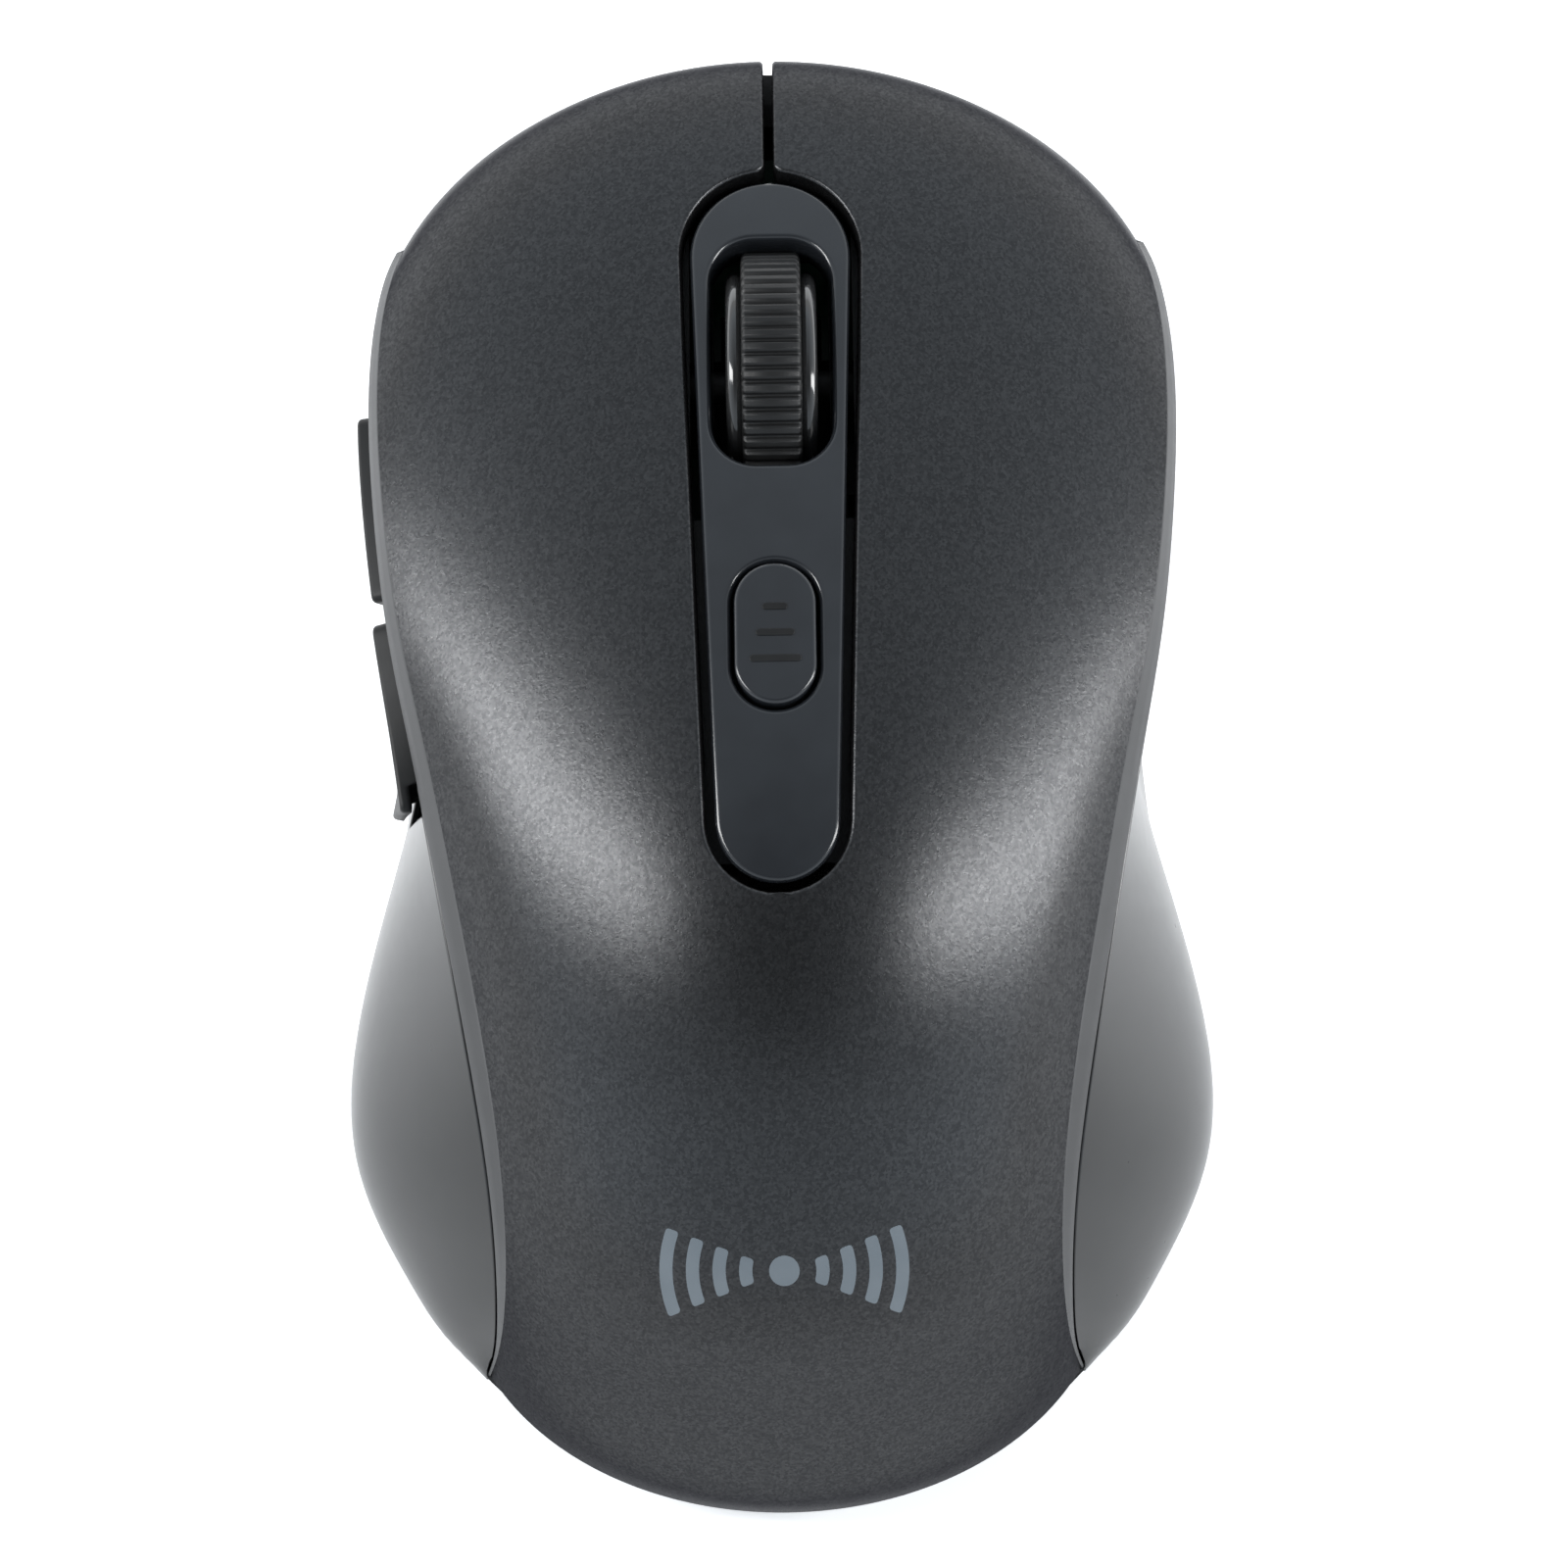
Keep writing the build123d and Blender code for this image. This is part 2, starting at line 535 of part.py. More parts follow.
def make_power():
    can = rod_y(CELL_REAR_Y, CELL_REAR_Y + CELL_LENGTH - NUB_LENGTH, 0, CELL_Z, CELL_R)
    nub_y = CELL_REAR_Y + CELL_LENGTH - NUB_LENGTH
    PARTS["aa_cell"] = can + rod_y(nub_y, nub_y + NUB_LENGTH, 0, CELL_Z, 2.7)
    contact_y = CELL_REAR_Y + CELL_LENGTH
    PARTS["positive_contact"] = block(-4.0, 4.0, contact_y + 0.05, contact_y + 0.45, CELL_Z - 4, CELL_Z + 4)
    plate_y = CELL_REAR_Y - SPRING_ROOM
    PARTS["negative_contact"] = rod_y(plate_y + 0.05, plate_y + 0.35, 0, CELL_Z, 4.6)
    spring = coil(0, 0, 0.32, SPRING_ROOM - 0.72, 3.4, 0.3, 2.5)
    PARTS["battery_spring"] = Pos(0, plate_y + 0.35, CELL_Z) * Rot(-90, 0, 0) * spring
    body = block(9.5, 15.9, -26.6, -13.0, 3.0, 17.6)
    tongue = block(10.4, 15.0, -33.6, -26.6, 4.3, 16.3)
    tongue -= block(10.8, 14.6, -33.7, -27.6, 4.7, 12.4)
    PARTS["usb_receiver"] = body
    PARTS["receiver_plug"] = tongue


def make_power_switch():
    body = block(-15.2, -11.2, 17.6, 26.4, 3.8, BOARD_Z)
    body -= block(-14.4, -12.0, 19.0, 25.0, 3.0, 5.4)
    PARTS["power_switch"] = body
    knob = block(-14.6, -11.8, 18.9, 22.1, 1.2, 3.4) + block(-14.0, -12.4, 19.5, 21.5, 3.4, 5.1)
    PARTS["power_slider"] = knob


# ---- scroll wheel ----
def make_wheel():
    tyre = rod_x(-TYRE_WIDTH / 2, TYRE_WIDTH / 2, WHEEL_Y, WHEEL_Z, TYRE_R - 0.35)
    tyre -= rod_x(-5, 5, WHEEL_Y, WHEEL_Z, TYRE_INNER_R)
    ribs = []
    for i in range(TYRE_RIBS):
        rib = Pos(0, 0, TYRE_R - 0.45) * Box(TYRE_WIDTH - 0.3, 0.6, 0.9)
        ribs.append(Pos(0, WHEEL_Y, WHEEL_Z) * Rot(i * 360 / TYRE_RIBS, 0, 0) * rib)
    PARTS["wheel_tyre"] = tyre.fuse(*ribs)
    hub = rod_x(-HUB_WIDTH / 2, HUB_WIDTH / 2, WHEEL_Y, WHEEL_Z, HUB_R)
    hub -= rod_x(-TYRE_WIDTH / 2, TYRE_WIDTH / 2, WHEEL_Y, WHEEL_Z, 20) \
        - rod_x(-TYRE_WIDTH / 2, TYRE_WIDTH / 2, WHEEL_Y, WHEEL_Z, TYRE_INNER_R)
    for side in (-1, 1):
        face = side * HUB_WIDTH / 2
        dish = rod_x(face - 1.2, face + 1.2, WHEEL_Y, WHEEL_Z, 7.4)
        hub -= dish - rod_x(face - 1.2, face + 1.2, WHEEL_Y, WHEEL_Z, 2.6)
    for i in range(6):
        turn = Pos(0, WHEEL_Y, WHEEL_Z) * Rot(i * 60, 0, 0)
        hub -= turn * Pos(0, 0, 5.1) * Rot(0, 90, 0) * Cylinder(1.3, 10)
    hub -= rod_x(-5, 5, WHEEL_Y, WHEEL_Z, AXLE_R)
    PARTS["wheel_hub"] = hub
    PARTS["wheel_axle"] = rod_x(-11.2, 8.1, WHEEL_Y, WHEEL_Z, AXLE_R)


def make_cradle():
    """carriage that holds the axle and moves down with it when the wheel is pressed"""
    frame = block(-5.8, 5.8, 18.3, 41.6, 15.5, 18.5) - block(-4.5, 4.5, 19.35, 40.6, 10, 30)
    for side in (-1, 1):
        frame += block(side * 5.15 - 0.65, side * 5.15 + 0.65, WHEEL_Y - 3, WHEEL_Y + 3, 15.5, WHEEL_Z + 2.8)
    frame -= rod_x(-10, 10, WHEEL_Y, WHEEL_Z, AXLE_R + 0.06)
    frame += block(5.7, 13.4, 21.8, 25.8, 17.3, 18.5)
    PARTS["wheel_cradle"] = frame
    PARTS["wheel_spring"] = coil(0, 19.4, 9.86, 15.24, 1.3, 0.22, 5)


def make_encoder():
    """rotation sensor beside the wheel: its rotor is on the axle, in an opening tall enough for the press"""
    encoder = block(-11.4, -8.4, WHEEL_Y - 5.5, WHEEL_Y + 3.2, BOARD_TOP, WHEEL_Z + 2.1)
    encoder -= rod_x(-12, -8, WHEEL_Y, WHEEL_Z, 1.8)
    encoder -= rod_x(-12, -8, WHEEL_Y, WHEEL_Z - PRESS_TRAVEL, 1.8)
    encoder -= block(-12, -8, WHEEL_Y - 1.8, WHEEL_Y + 1.8, WHEEL_Z - PRESS_TRAVEL, WHEEL_Z)
    PARTS["encoder"] = encoder
    PARTS["encoder_rotor"] = rod_x(-11.2, -8.6, WHEEL_Y, WHEEL_Z, 1.5) - rod_x(-12, -8, WHEEL_Y, WHEEL_Z, AXLE_R)


# ---- circuit board ----
def micro_switch(x, y):
    """snap switch with its plunger opening, on the board"""
    wide, long, tall = SWITCH_SIZE
    case = block(x - wide / 2, x + wide / 2, y - long / 2, y + long / 2, BOARD_TOP, BOARD_TOP + tall)
    case -= block(x - 1.7, x + 1.7, y + 1.2, y + 3.8, BOARD_TOP + tall - 2.0, 30)
    return case


def plunger(x, y, top):
    return block(x - 1.4, x + 1.4, y + 1.7, y + 3.3, top - 1.7, top)


def make_board():
    board = prism(outline_face(6.5, 0), BOARD_Z, BOARD_TOP) & block(-25, 25, 7.7, 50, 0, 60)
    board -= block(-8.5, 8.5, WHEEL_Y - 3.9, WHEEL_Y + 3.9, 0, 60)
    board -= block(-4.0, 4.0, WHEEL_Y - 7.5, WHEEL_Y + 7.5, 0, 60)
    board -= block(-4.6, 4.6, SENSOR_Y - 4.0, SENSOR_Y + 2.6, 0, 60)
    for x, y in BOARD_SCREWS:
        board -= post(x, y, 0, 20, 1.2)
    PARTS["main_board"] = board
    screws = []
    for x, y in BOARD_SCREWS:
        screws.append(post(x, y, 4.2, BOARD_TOP, 0.8) + post(x, y, BOARD_TOP, BOARD_TOP + 1.1, 1.9))
    PARTS["board_screws"] = Compound(screws)


def make_chips():
    PARTS["sensor_chip"] = block(-4.4, 4.4, SENSOR_Y - 5.4, SENSOR_Y + 4.4, BOARD_TOP, BOARD_TOP + 2.2)
    lens = block(-4.2, 4.2, SENSOR_Y - 3.7, SENSOR_Y + 2.3, 4.2, BOARD_TOP - 0.1)
    lens += post(0, SENSOR_Y, 1.4, 4.2, 2.6)
    PARTS["sensor_lens"] = lens
    PARTS["control_chip"] = block(-16.6, -9.6, 14.0, 21.0, BOARD_TOP, BOARD_TOP + 1.0)
    PARTS["crystal"] = block(16.0, 18.6, 16.0, 24.0, BOARD_TOP, BOARD_TOP + 2.4)
    PARTS["capacitor"] = post(12.5, 10.6, BOARD_TOP, BOARD_TOP + 5.4, 2.2)


def make_switches():
    for side, name in ((-1, "left"), (1, "right")):
        PARTS[name + "_switch"] = micro_switch(side * SWITCH_X, SWITCH_Y)
        PARTS[name + "_plunger"] = plunger(side * SWITCH_X, SWITCH_Y, 17.1)
    PARTS["middle_switch"] = micro_switch(11.9, 21.3)
    PARTS["middle_plunger"] = plunger(11.9, 21.3, 17.3)


make_cover_and_keys()
make_strip()
make_inner_frame()
make_side_panels()
make_side_buttons()
make_bottom_shell()
make_door()
make_glides()
make_power()
make_power_switch()
make_wheel()
make_cradle()
make_encoder()
make_board()
make_chips()
make_switches()

os.makedirs("parts", exist_ok=True)
for name, shape in PARTS.items():
    shape.label = name
    export_step(shape, "parts/" + name + ".step")
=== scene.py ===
import bpy
import json
import math
import numpy as np
from mathutils import Matrix, Vector
from mathutils.geometry import delaunay_2d_cdt


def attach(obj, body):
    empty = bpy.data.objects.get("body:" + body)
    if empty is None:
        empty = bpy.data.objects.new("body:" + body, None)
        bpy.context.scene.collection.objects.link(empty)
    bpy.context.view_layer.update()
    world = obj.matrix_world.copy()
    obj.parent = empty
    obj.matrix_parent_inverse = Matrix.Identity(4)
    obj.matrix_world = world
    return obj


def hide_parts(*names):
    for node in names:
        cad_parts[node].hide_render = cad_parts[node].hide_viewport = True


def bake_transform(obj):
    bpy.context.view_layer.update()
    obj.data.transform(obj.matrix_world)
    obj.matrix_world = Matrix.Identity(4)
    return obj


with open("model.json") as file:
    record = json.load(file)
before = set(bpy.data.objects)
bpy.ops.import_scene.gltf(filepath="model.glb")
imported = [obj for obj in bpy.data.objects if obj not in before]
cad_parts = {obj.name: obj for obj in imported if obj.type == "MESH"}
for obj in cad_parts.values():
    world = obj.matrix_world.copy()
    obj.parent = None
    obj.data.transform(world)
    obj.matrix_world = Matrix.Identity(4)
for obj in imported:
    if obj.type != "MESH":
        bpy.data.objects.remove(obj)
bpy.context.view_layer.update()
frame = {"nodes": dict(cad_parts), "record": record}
MM = 0.001

# Shapes are worked out in millimetres, and become metres when a mesh is made.

# ---- the body's form, as in the CAD: one row for each station, from the front lip to the rear edge ----
# crown line y, z | seam x, y, z | bevel width, height | arch in degrees
COVER_STATIONS = np.array([
    [57.6, 11.0, 29.6, 43.0, 11.0, 0.5, 0.0, 66],
    [56.6, 15.2, 30.4, 40.7, 13.2, 0.75, 1.2, 64],
    [53.0, 18.9, 31.1, 37.4, 15.0, 0.8, 1.6, 61],
    [45.5, 23.2, 31.6, 31.5, 17.4, 0.9, 1.8, 58],
    [33.0, 28.0, 31.3, 22.5, 20.2, 1.0, 2.0, 56],
    [18.0, 32.8, 30.1, 11.5, 22.7, 1.2, 2.0, 56],
    [3.0, 36.5, 28.2, 1.5, 24.4, 1.4, 1.9, 57],
    [-11.0, 38.4, 26.2, -9.0, 25.4, 1.5, 1.8, 58],
    [-24.0, 37.2, 24.3, -19.5, 25.6, 1.5, 1.6, 60],
    [-35.0, 32.4, 22.9, -28.5, 24.4, 1.3, 1.4, 62],
    [-44.5, 24.4, 22.3, -36.0, 20.6, 1.0, 1.2, 64],
    [-51.8, 15.0, 22.5, -42.0, 13.4, 0.6, 0.9, 66],
    [-56.7, 8.0, 23.2, -45.3, 7.2, 0.3, 0.4, 67],
    [-57.6, 4.6, 23.8, -46.5, 4.6, 0.3, 0.0, 66],
])
# side panel: swell x, y, z | foot x, y, at the same stations except the last
PANEL_STATIONS = np.array([
    [29.9, 42.9, 7.5, 29.3, 42.6],
    [30.3, 40.6, 9.0, 29.9, 40.3],
    [30.7, 37.3, 10.0, 30.3, 37.1],
    [30.6, 31.4, 11.5, 30.6, 31.3],
    [29.5, 22.4, 13.0, 30.2, 22.3],
    [27.2, 11.5, 14.0, 29.2, 11.5],
    [27.4, 1.3, 13.0, 29.3, 1.0],
    [32.4, -9.3, 12.0, 30.9, -9.8],
    [36.3, -20.2, 11.0, 33.1, -21.0],
    [36.6, -29.8, 11.0, 32.6, -30.6],
    [32.2, -38.0, 9.5, 29.2, -39.0],
    [28.2, -43.0, 7.8, 26.2, -43.9],
    [23.9, -46.1, 5.8, 23.7, -46.8],
])
WALL = 2.0
PANEL_WALL = 1.8
PANEL_INSIDE_GAP = 0.2
PANEL_FOOT_Z = 4.5
SEAM_GAP = 0.22
SEAM_GAP_REAR = 0.1
SEAM_GAP_FADE = 12
KEY_SPLIT = 0.7
FLEX_Y = -9.0
KEY_TRAVEL = math.radians(1.0)
# the panel's top edge makes this much more room than a pressed key needs
PANEL_DROP_FACTOR = 1.3
SLOT_FRONT = (39.7, 7.0)
SLOT_REAR = (-4.9, 5.5)
STRIP_GAP = 0.75
STRIP_SINK = 0.35
WHEEL_SLOT = (22.7, 41.1, 4.75, 3.5)
DPI_SPAN = (3.8, 14.7, 3.1)
DPI_GAP = 0.3
DPI_PROUD = 0.1
WHEEL_Y, WHEEL_Z = 29.9, 20.9
SIDE_SPANS = {"forward": (13.8, 28.7), "back": (-3.1, 12.1)}
SIDE_BOTTOM_Z = 14.0
SIDE_TOP_GAP = 0.6
SIDE_PROUD = {"forward": 1.15, "back": 1.45}
NOTCH_GAP = 0.4

# Behind the first y a shell's wall is REAR_WALL_SHARE of its thickness, ahead of the second it is full.
# Both are near the middle of the mouse, so the inner faces have a step there that the CAD has not.
WALL_STEP = (-1, -0.9)
PANEL_WALL_STEP = (-0.045, -0.036)
REAR_WALL_SHARE = 0.3


# ---- curves and surfaces ----
def lengths_along(points):
    """distance of each point from the first, along the row"""
    return np.concatenate([[0.0], np.cumsum(np.linalg.norm(np.diff(points, axis=0), axis=1))])


def chord_steps(points):
    """0 to 1 along a row of points, in proportion to the distance between them"""
    steps = lengths_along(points)
    return steps / steps[-1]


def spline_bend(knots, rows):
    """second derivatives of the natural cubic spline through the rows"""
    count = len(knots)
    h = np.diff(knots)
    system = np.eye(count)
    right = np.zeros_like(rows)
    for i in range(1, count - 1):
        system[i, i - 1:i + 2] = h[i - 1], 2 * (h[i - 1] + h[i]), h[i]
        right[i] = 6 * ((rows[i + 1] - rows[i]) / h[i] - (rows[i] - rows[i - 1]) / h[i - 1])
    return np.linalg.solve(system, right)


KNOTS = chord_steps(COVER_STATIONS[:, 0:2])
COVER_BEND = spline_bend(KNOTS, COVER_STATIONS)
PANEL_BEND = spline_bend(KNOTS[:-1], PANEL_STATIONS)
PANEL_END = KNOTS[-2]


def along(rows, bend, v):
    """the spline's rows at each v"""
    knots = KNOTS[:len(rows)]
    k = np.clip(np.searchsorted(knots, v) - 1, 0, len(knots) - 2)
    h = (knots[k + 1] - knots[k])[:, None]
    a = (knots[k + 1] - v)[:, None] / h
    b = (v - knots[k])[:, None] / h
    curve = (a ** 3 - a) * bend[k] + (b ** 3 - b) * bend[k + 1]
    return a * rows[k] + b * rows[k + 1] + curve * h * h / 6


def crown(u, v):
    """points on the cover: u from 0 (centre line) to 1 (right crease), v from 0 (lip) to 1 (rear)"""
    cy, cz, sx, sy, sz, bevel, rise, arch = along(COVER_STATIONS, COVER_BEND, v).T
    arch = np.radians(arch)
    drop = (1 - np.cos(arch * u)) / (1 - np.cos(arch))
    x = (sx - bevel) * np.sin(arch * u) / np.sin(arch)
    return np.stack([x, cy + (sy - cy) * drop, cz + (sz + rise - cz) * drop], axis=1)


def seam(v):
    return along(COVER_STATIONS, COVER_BEND, v)[:, 2:5]


def unit(vectors):
    return vectors / np.linalg.norm(vectors, axis=1)[:, None]


def facing(surface, a, b, a_range, b_range, step=1e-3):
    """unit normals of a surface of two parameters"""
    a0, a1 = np.maximum(a - step, a_range[0]), np.minimum(a + step, a_range[1])
    b0, b1 = np.maximum(b - step, b_range[0]), np.minimum(b + step, b_range[1])
    return unit(np.cross(surface(a, b1) - surface(a, b0), surface(a1, b) - surface(a0, b)))


def crown_facing(u, v):
    return facing(crown, u, v, (-1, 1), (0, 1))


def off_rim(v, step=1e-3):
    """at the seam: the way that leads off the cover's rim"""
    ones = np.ones_like(v)
    rim = crown(ones, v) - WALL * crown_facing(ones, v) - seam(v)
    ahead = seam(np.minimum(v + step, 1)) - seam(np.maximum(v - step, 0))
    return unit(np.cross(ahead, rim))


def key_drop(y):
    """how far a fully pressed key has gone down at y"""
    return np.maximum(0.0, y - FLEX_Y) * math.sin(KEY_TRAVEL)


def panel(s, v):
    """points on the right side panel, s from 0 (seam) to 1 (foot)"""
    qx, qy, qz, bx, by = along(PANEL_STATIONS, PANEL_BEND, v).T
    edge = seam(v)
    gap = np.interp(edge[:, 1], [FLEX_Y - SEAM_GAP_FADE, FLEX_Y], [SEAM_GAP_REAR, SEAM_GAP])
    top = edge + off_rim(v) * gap[:, None]
    top[:, 2] -= PANEL_DROP_FACTOR * key_drop(top[:, 1])
    swell = np.stack([qx, qy, qz], axis=1)
    foot = np.stack([bx, by, np.full_like(bx, PANEL_FOOT_Z)], axis=1)
    s = s[:, None]
    return (1 - s) ** 2 * top + 2 * s * (1 - s) * swell + s ** 2 * foot


def panel_facing(s, v):
    return facing(panel, s, v, (0, 1), (0, PANEL_END))


# ---- flat maps: each surface has a map in millimetres that keeps lengths nearly true ----
COVER_LENGTH = np.sum(np.linalg.norm(np.diff(COVER_STATIONS[:, 0:2], axis=0), axis=1))
PANEL_LENGTH = 98.0
# length of a panel's curve from seam to foot, against the straight line
PANEL_CURVE = 1.03
SEARCH_ROUNDS = 12
SEARCH_STEP = 1e-4


def arc_width(v):
    """length of the cover's cross line from the centre to the crease"""
    total = np.zeros_like(v)
    last = crown(np.zeros_like(v), v)
    for u in np.linspace(0.1, 1, 10):
        point = crown(np.full_like(v, u), v)
        total += np.linalg.norm(point - last, axis=1)
        last = point
    return total


def cover_place(flat):
    """flat map to points and normals: across from the centre line, and down the cover from the lip"""
    v = np.clip(-flat[:, 1] / COVER_LENGTH, 0, 1)
    u = flat[:, 0] / arc_width(v)
    return crown(u, v), crown_facing(u, v)


def newton_moves(miss, by_a, by_b):
    """how far two parameters go to close a miss, from how the point moves with each"""
    det = by_a[:, 0] * by_b[:, 1] - by_a[:, 1] * by_b[:, 0]
    move_a = (miss[:, 0] * by_b[:, 1] - miss[:, 1] * by_b[:, 0]) / det
    move_b = (by_a[:, 0] * miss[:, 1] - by_a[:, 1] * miss[:, 0]) / det
    return move_a, move_b


def crown_under(plan):
    """u and v of the cover straight above or below each plan point"""
    guessed_half_width = 30
    u = plan[:, 0] / guessed_half_width
    v = np.interp(-plan[:, 1], -COVER_STATIONS[:, 0], KNOTS)
    step = SEARCH_STEP
    for _ in range(SEARCH_ROUNDS):
        here = crown(u, v)[:, :2]
        du = (crown(u + step, v)[:, :2] - here) / step
        ahead = crown(u, np.minimum(v + step, 1))[:, :2]
        behind = crown(u, np.maximum(v - step, 0))[:, :2]
        move_u, move_v = newton_moves(plan - here, du, (ahead - behind) / (2 * step))
        u = u + move_u
        v = np.clip(v + move_v, step, 1 - step)
    return u, v


def plan_place(sink):
    """maps plan points onto the cover, sunk below it"""
    def place(plan):
        u, v = crown_under(plan)
        normal = crown_facing(u, v)
        return crown(u, v) - sink * normal, normal
    return place


def plan_to_cover(plan):
    u, v = crown_under(plan)
    return np.stack([u * arc_width(v), -v * COVER_LENGTH], axis=1)


def panel_height(v):
    ends = panel(np.zeros_like(v), v) - panel(np.ones_like(v), v)
    return np.linalg.norm(ends, axis=1) * PANEL_CURVE


def panel_place(proud):
    """flat map to the right panel: forward is to the right, up is up"""
    def place(flat):
        v = np.clip(-flat[:, 0] / PANEL_LENGTH, 0, PANEL_END)
        s = np.clip(-flat[:, 1] / panel_height(v), 0, 1)
        normal = panel_facing(s, v)
        return panel(s, v) + proud * normal, normal
    return place


def side_to_panel(side):
    """flat panel map of points given as y and z"""
    guessed_top, guessed_height = 24.0, 20
    v = np.interp(-side[:, 0], -COVER_STATIONS[:-1, 3], KNOTS[:-1])
    s = (guessed_top - side[:, 1]) / guessed_height
    step = SEARCH_STEP
    for _ in range(SEARCH_ROUNDS):
        here = panel(s, v)[:, 1:]
        ds = (panel(s + step, v)[:, 1:] - here) / step
        dv = (panel(s, v + step)[:, 1:] - here) / step
        move_s, move_v = newton_moves(side - here, ds, dv)
        s = s + move_s
        v = np.clip(v + move_v, 0, PANEL_END - step)
    return np.stack([-v * PANEL_LENGTH, -s * panel_height(v)], axis=1)


# ---- outlines: closed loops of runs, with the material on the left ----
def resample(points, step, start=0.0, end=0.0):
    """even points along a run, with a length left off at each end"""
    d = lengths_along(points)
    count = max(2, int(round((d[-1] - start - end) / step)) + 1)
    at = np.linspace(start, d[-1] - end, count)
    return np.stack([np.interp(at, d, points[:, i]) for i in (0, 1)], axis=1)


def line(*points):
    return resample(np.array(points, float), 0.25)


def arc(cx, cy, r, a0, a1):
    """part of a circle, with a point for about every three degrees"""
    turn = np.radians(np.linspace(a0, a1, max(8, int(abs(a1 - a0) / 3))))
    return np.stack([cx + r * np.cos(turn), cy + r * np.sin(turn)], axis=1)


def loop(runs, step):
    """runs are (points, kind, rounding of the corner at the run's start); gives points and their kinds"""
    points, kinds = [], []
    for i, (run, kind, rounding) in enumerate(runs):
        after = runs[(i + 1) % len(runs)][2]
        body = resample(run, step, rounding, after)
        if rounding:
            before = runs[i - 1][0]
            last = resample(before, 0.05, 0, rounding)[-1]
            corner = run[0]
            for t in np.linspace(0, 1, 7)[1:-1]:
                points.append((1 - t) ** 2 * last + 2 * t * (1 - t) * corner + t * t * body[0])
                kinds.append("cut")
        stop = len(body) if after else len(body) - 1
        points.extend(body[:stop])
        kinds.extend([kind] * stop)
    return np.array(points), np.array(kinds)


def closed(points, step):
    """a loop from one closed line"""
    return loop([(np.concatenate([points, points[:1]]), "cut", 0)], step)


def inside(points, polygon):
    """which points lie in a polygon"""
    hit = np.zeros(len(points), bool)
    x, y = points.T
    for (x0, y0), (x1, y1) in zip(polygon, np.roll(polygon, -1, axis=0)):
        cross = (y0 > y) != (y1 > y)
        if y1 != y0:
            hit ^= cross & (x < (x1 - x0) * (y - y0) / (y1 - y0) + x0)
    return hit


def within(points, outlines):
    """which points lie in the first outline and in none of the others, which are holes"""
    hit = inside(points, outlines[0])
    for hole in outlines[1:]:
        hit &= ~inside(points, hole)
    return hit


def tangents(points, kinds):
    """unit directions along a loop, one-sided where a cut run meets another kind"""
    ahead = np.roll(points, -1, axis=0)
    behind = np.roll(points, 1, axis=0)
    cut = kinds == "cut"
    no_ahead = cut & ~np.roll(cut, -1)
    no_behind = cut & ~np.roll(cut, 1)
    ahead[no_ahead] = points[no_ahead]
    behind[no_behind] = points[no_behind]
    return unit(ahead - behind)


def drawn_in(place, points, kinds, radius):
    """the loop's cut points moved into the material by radius, measured on the surface"""
    t = tangents(points, kinds)
    left = np.stack([-t[:, 1], t[:, 0]], axis=1)
    base, _ = place(points)
    step = 0.05
    least_stretch = 0.2
    stretch = np.linalg.norm(place(points + left * step)[0] - base, axis=1) / step
    move = np.where(kinds == "cut", radius / np.maximum(stretch, least_stretch), 0.0)
    return points + left * move[:, None]


# ---- meshes ----
EDGE_ANGLES = (22, 45, 68, 90)
CUT_SHARES = (0.55, 0.93)
BEVEL_SHARES = (0.14, 0.5, 0.88)
RIM_SHARES = (0.06, 0.4, 0.9)
BAND_LEVELS = 5


def make_object(name, verts, faces, material, normals=None):
    """a smooth-shaded mesh object, with exact normals where they are given"""
    mesh = bpy.data.meshes.new(name)
    mesh.from_pydata((np.asarray(verts) * MM).tolist(), [], faces)
    mesh.update()
    mesh.validate()
    mesh.shade_smooth()
    if normals is not None:
        own = np.empty(len(mesh.vertices) * 3, np.float32)
        mesh.vertex_normals.foreach_get("vector", own)
        own = own.reshape(-1, 3)
        own[:len(normals)] = normals
        mesh.normals_split_custom_set_from_vertices(own.tolist())
    mesh.materials.append(material)
    obj = bpy.data.objects.new(name, mesh)
    bpy.context.scene.collection.objects.link(obj)
    return obj


def fill_grid(outlines, border, step):
    """a triangular grid of points within the outlines, clear of the border"""
    low, high = border.min(axis=0), border.max(axis=0)
    xs = np.arange(low[0], high[0], step)
    ys = np.arange(low[1], high[1], step * 0.866)
    grid = np.array([(x + step / 2 * (j % 2), y) for j, y in enumerate(ys) for x in xs])
    keep = within(grid, outlines)
    for chunk in np.array_split(border, max(1, len(border) // 64)):
        nearest = np.min(np.linalg.norm(grid[:, None] - chunk[None], axis=2), axis=1)
        keep &= nearest > step * 0.6
    return grid[keep]


def border_edges(outlines):
    """index pairs round each outline, where the outlines' points follow one another"""
    edges, first = [], 0
    for outline in outlines:
        count = len(outline)
        edges += [(first + i, first + (i + 1) % count) for i in range(count)]
        first += count
    return edges


def triangulate(outlines, step):
    """points that fill the outlines, the border's first, and the triangles between them"""
    border = np.concatenate(outlines)
    flat = np.concatenate([border, fill_grid(outlines, border, step)])
    edges = border_edges(outlines)
    out = delaunay_2d_cdt([Vector(p) for p in flat], edges, [], 0, 1e-7)
    found = {}
    for index, sources in enumerate(out[3]):
        for source in sources:
            found[index] = source
    faces = np.array([[found[i] for i in f] for f in out[2]])
    # a triangle on the border belongs to the fill if it runs the border's way
    following = np.full(len(flat), -1)
    following[[i for i, _ in edges]] = [j for _, j in edges]
    ahead = faces[:, [1, 2, 0]]
    left_of_border = (following[faces] == ahead).any(axis=1)
    right_of_border = (following[ahead] == faces).any(axis=1)
    filled = within(flat[faces].mean(axis=1), outlines)
    return flat, faces[left_of_border | (filled & ~right_of_border)]


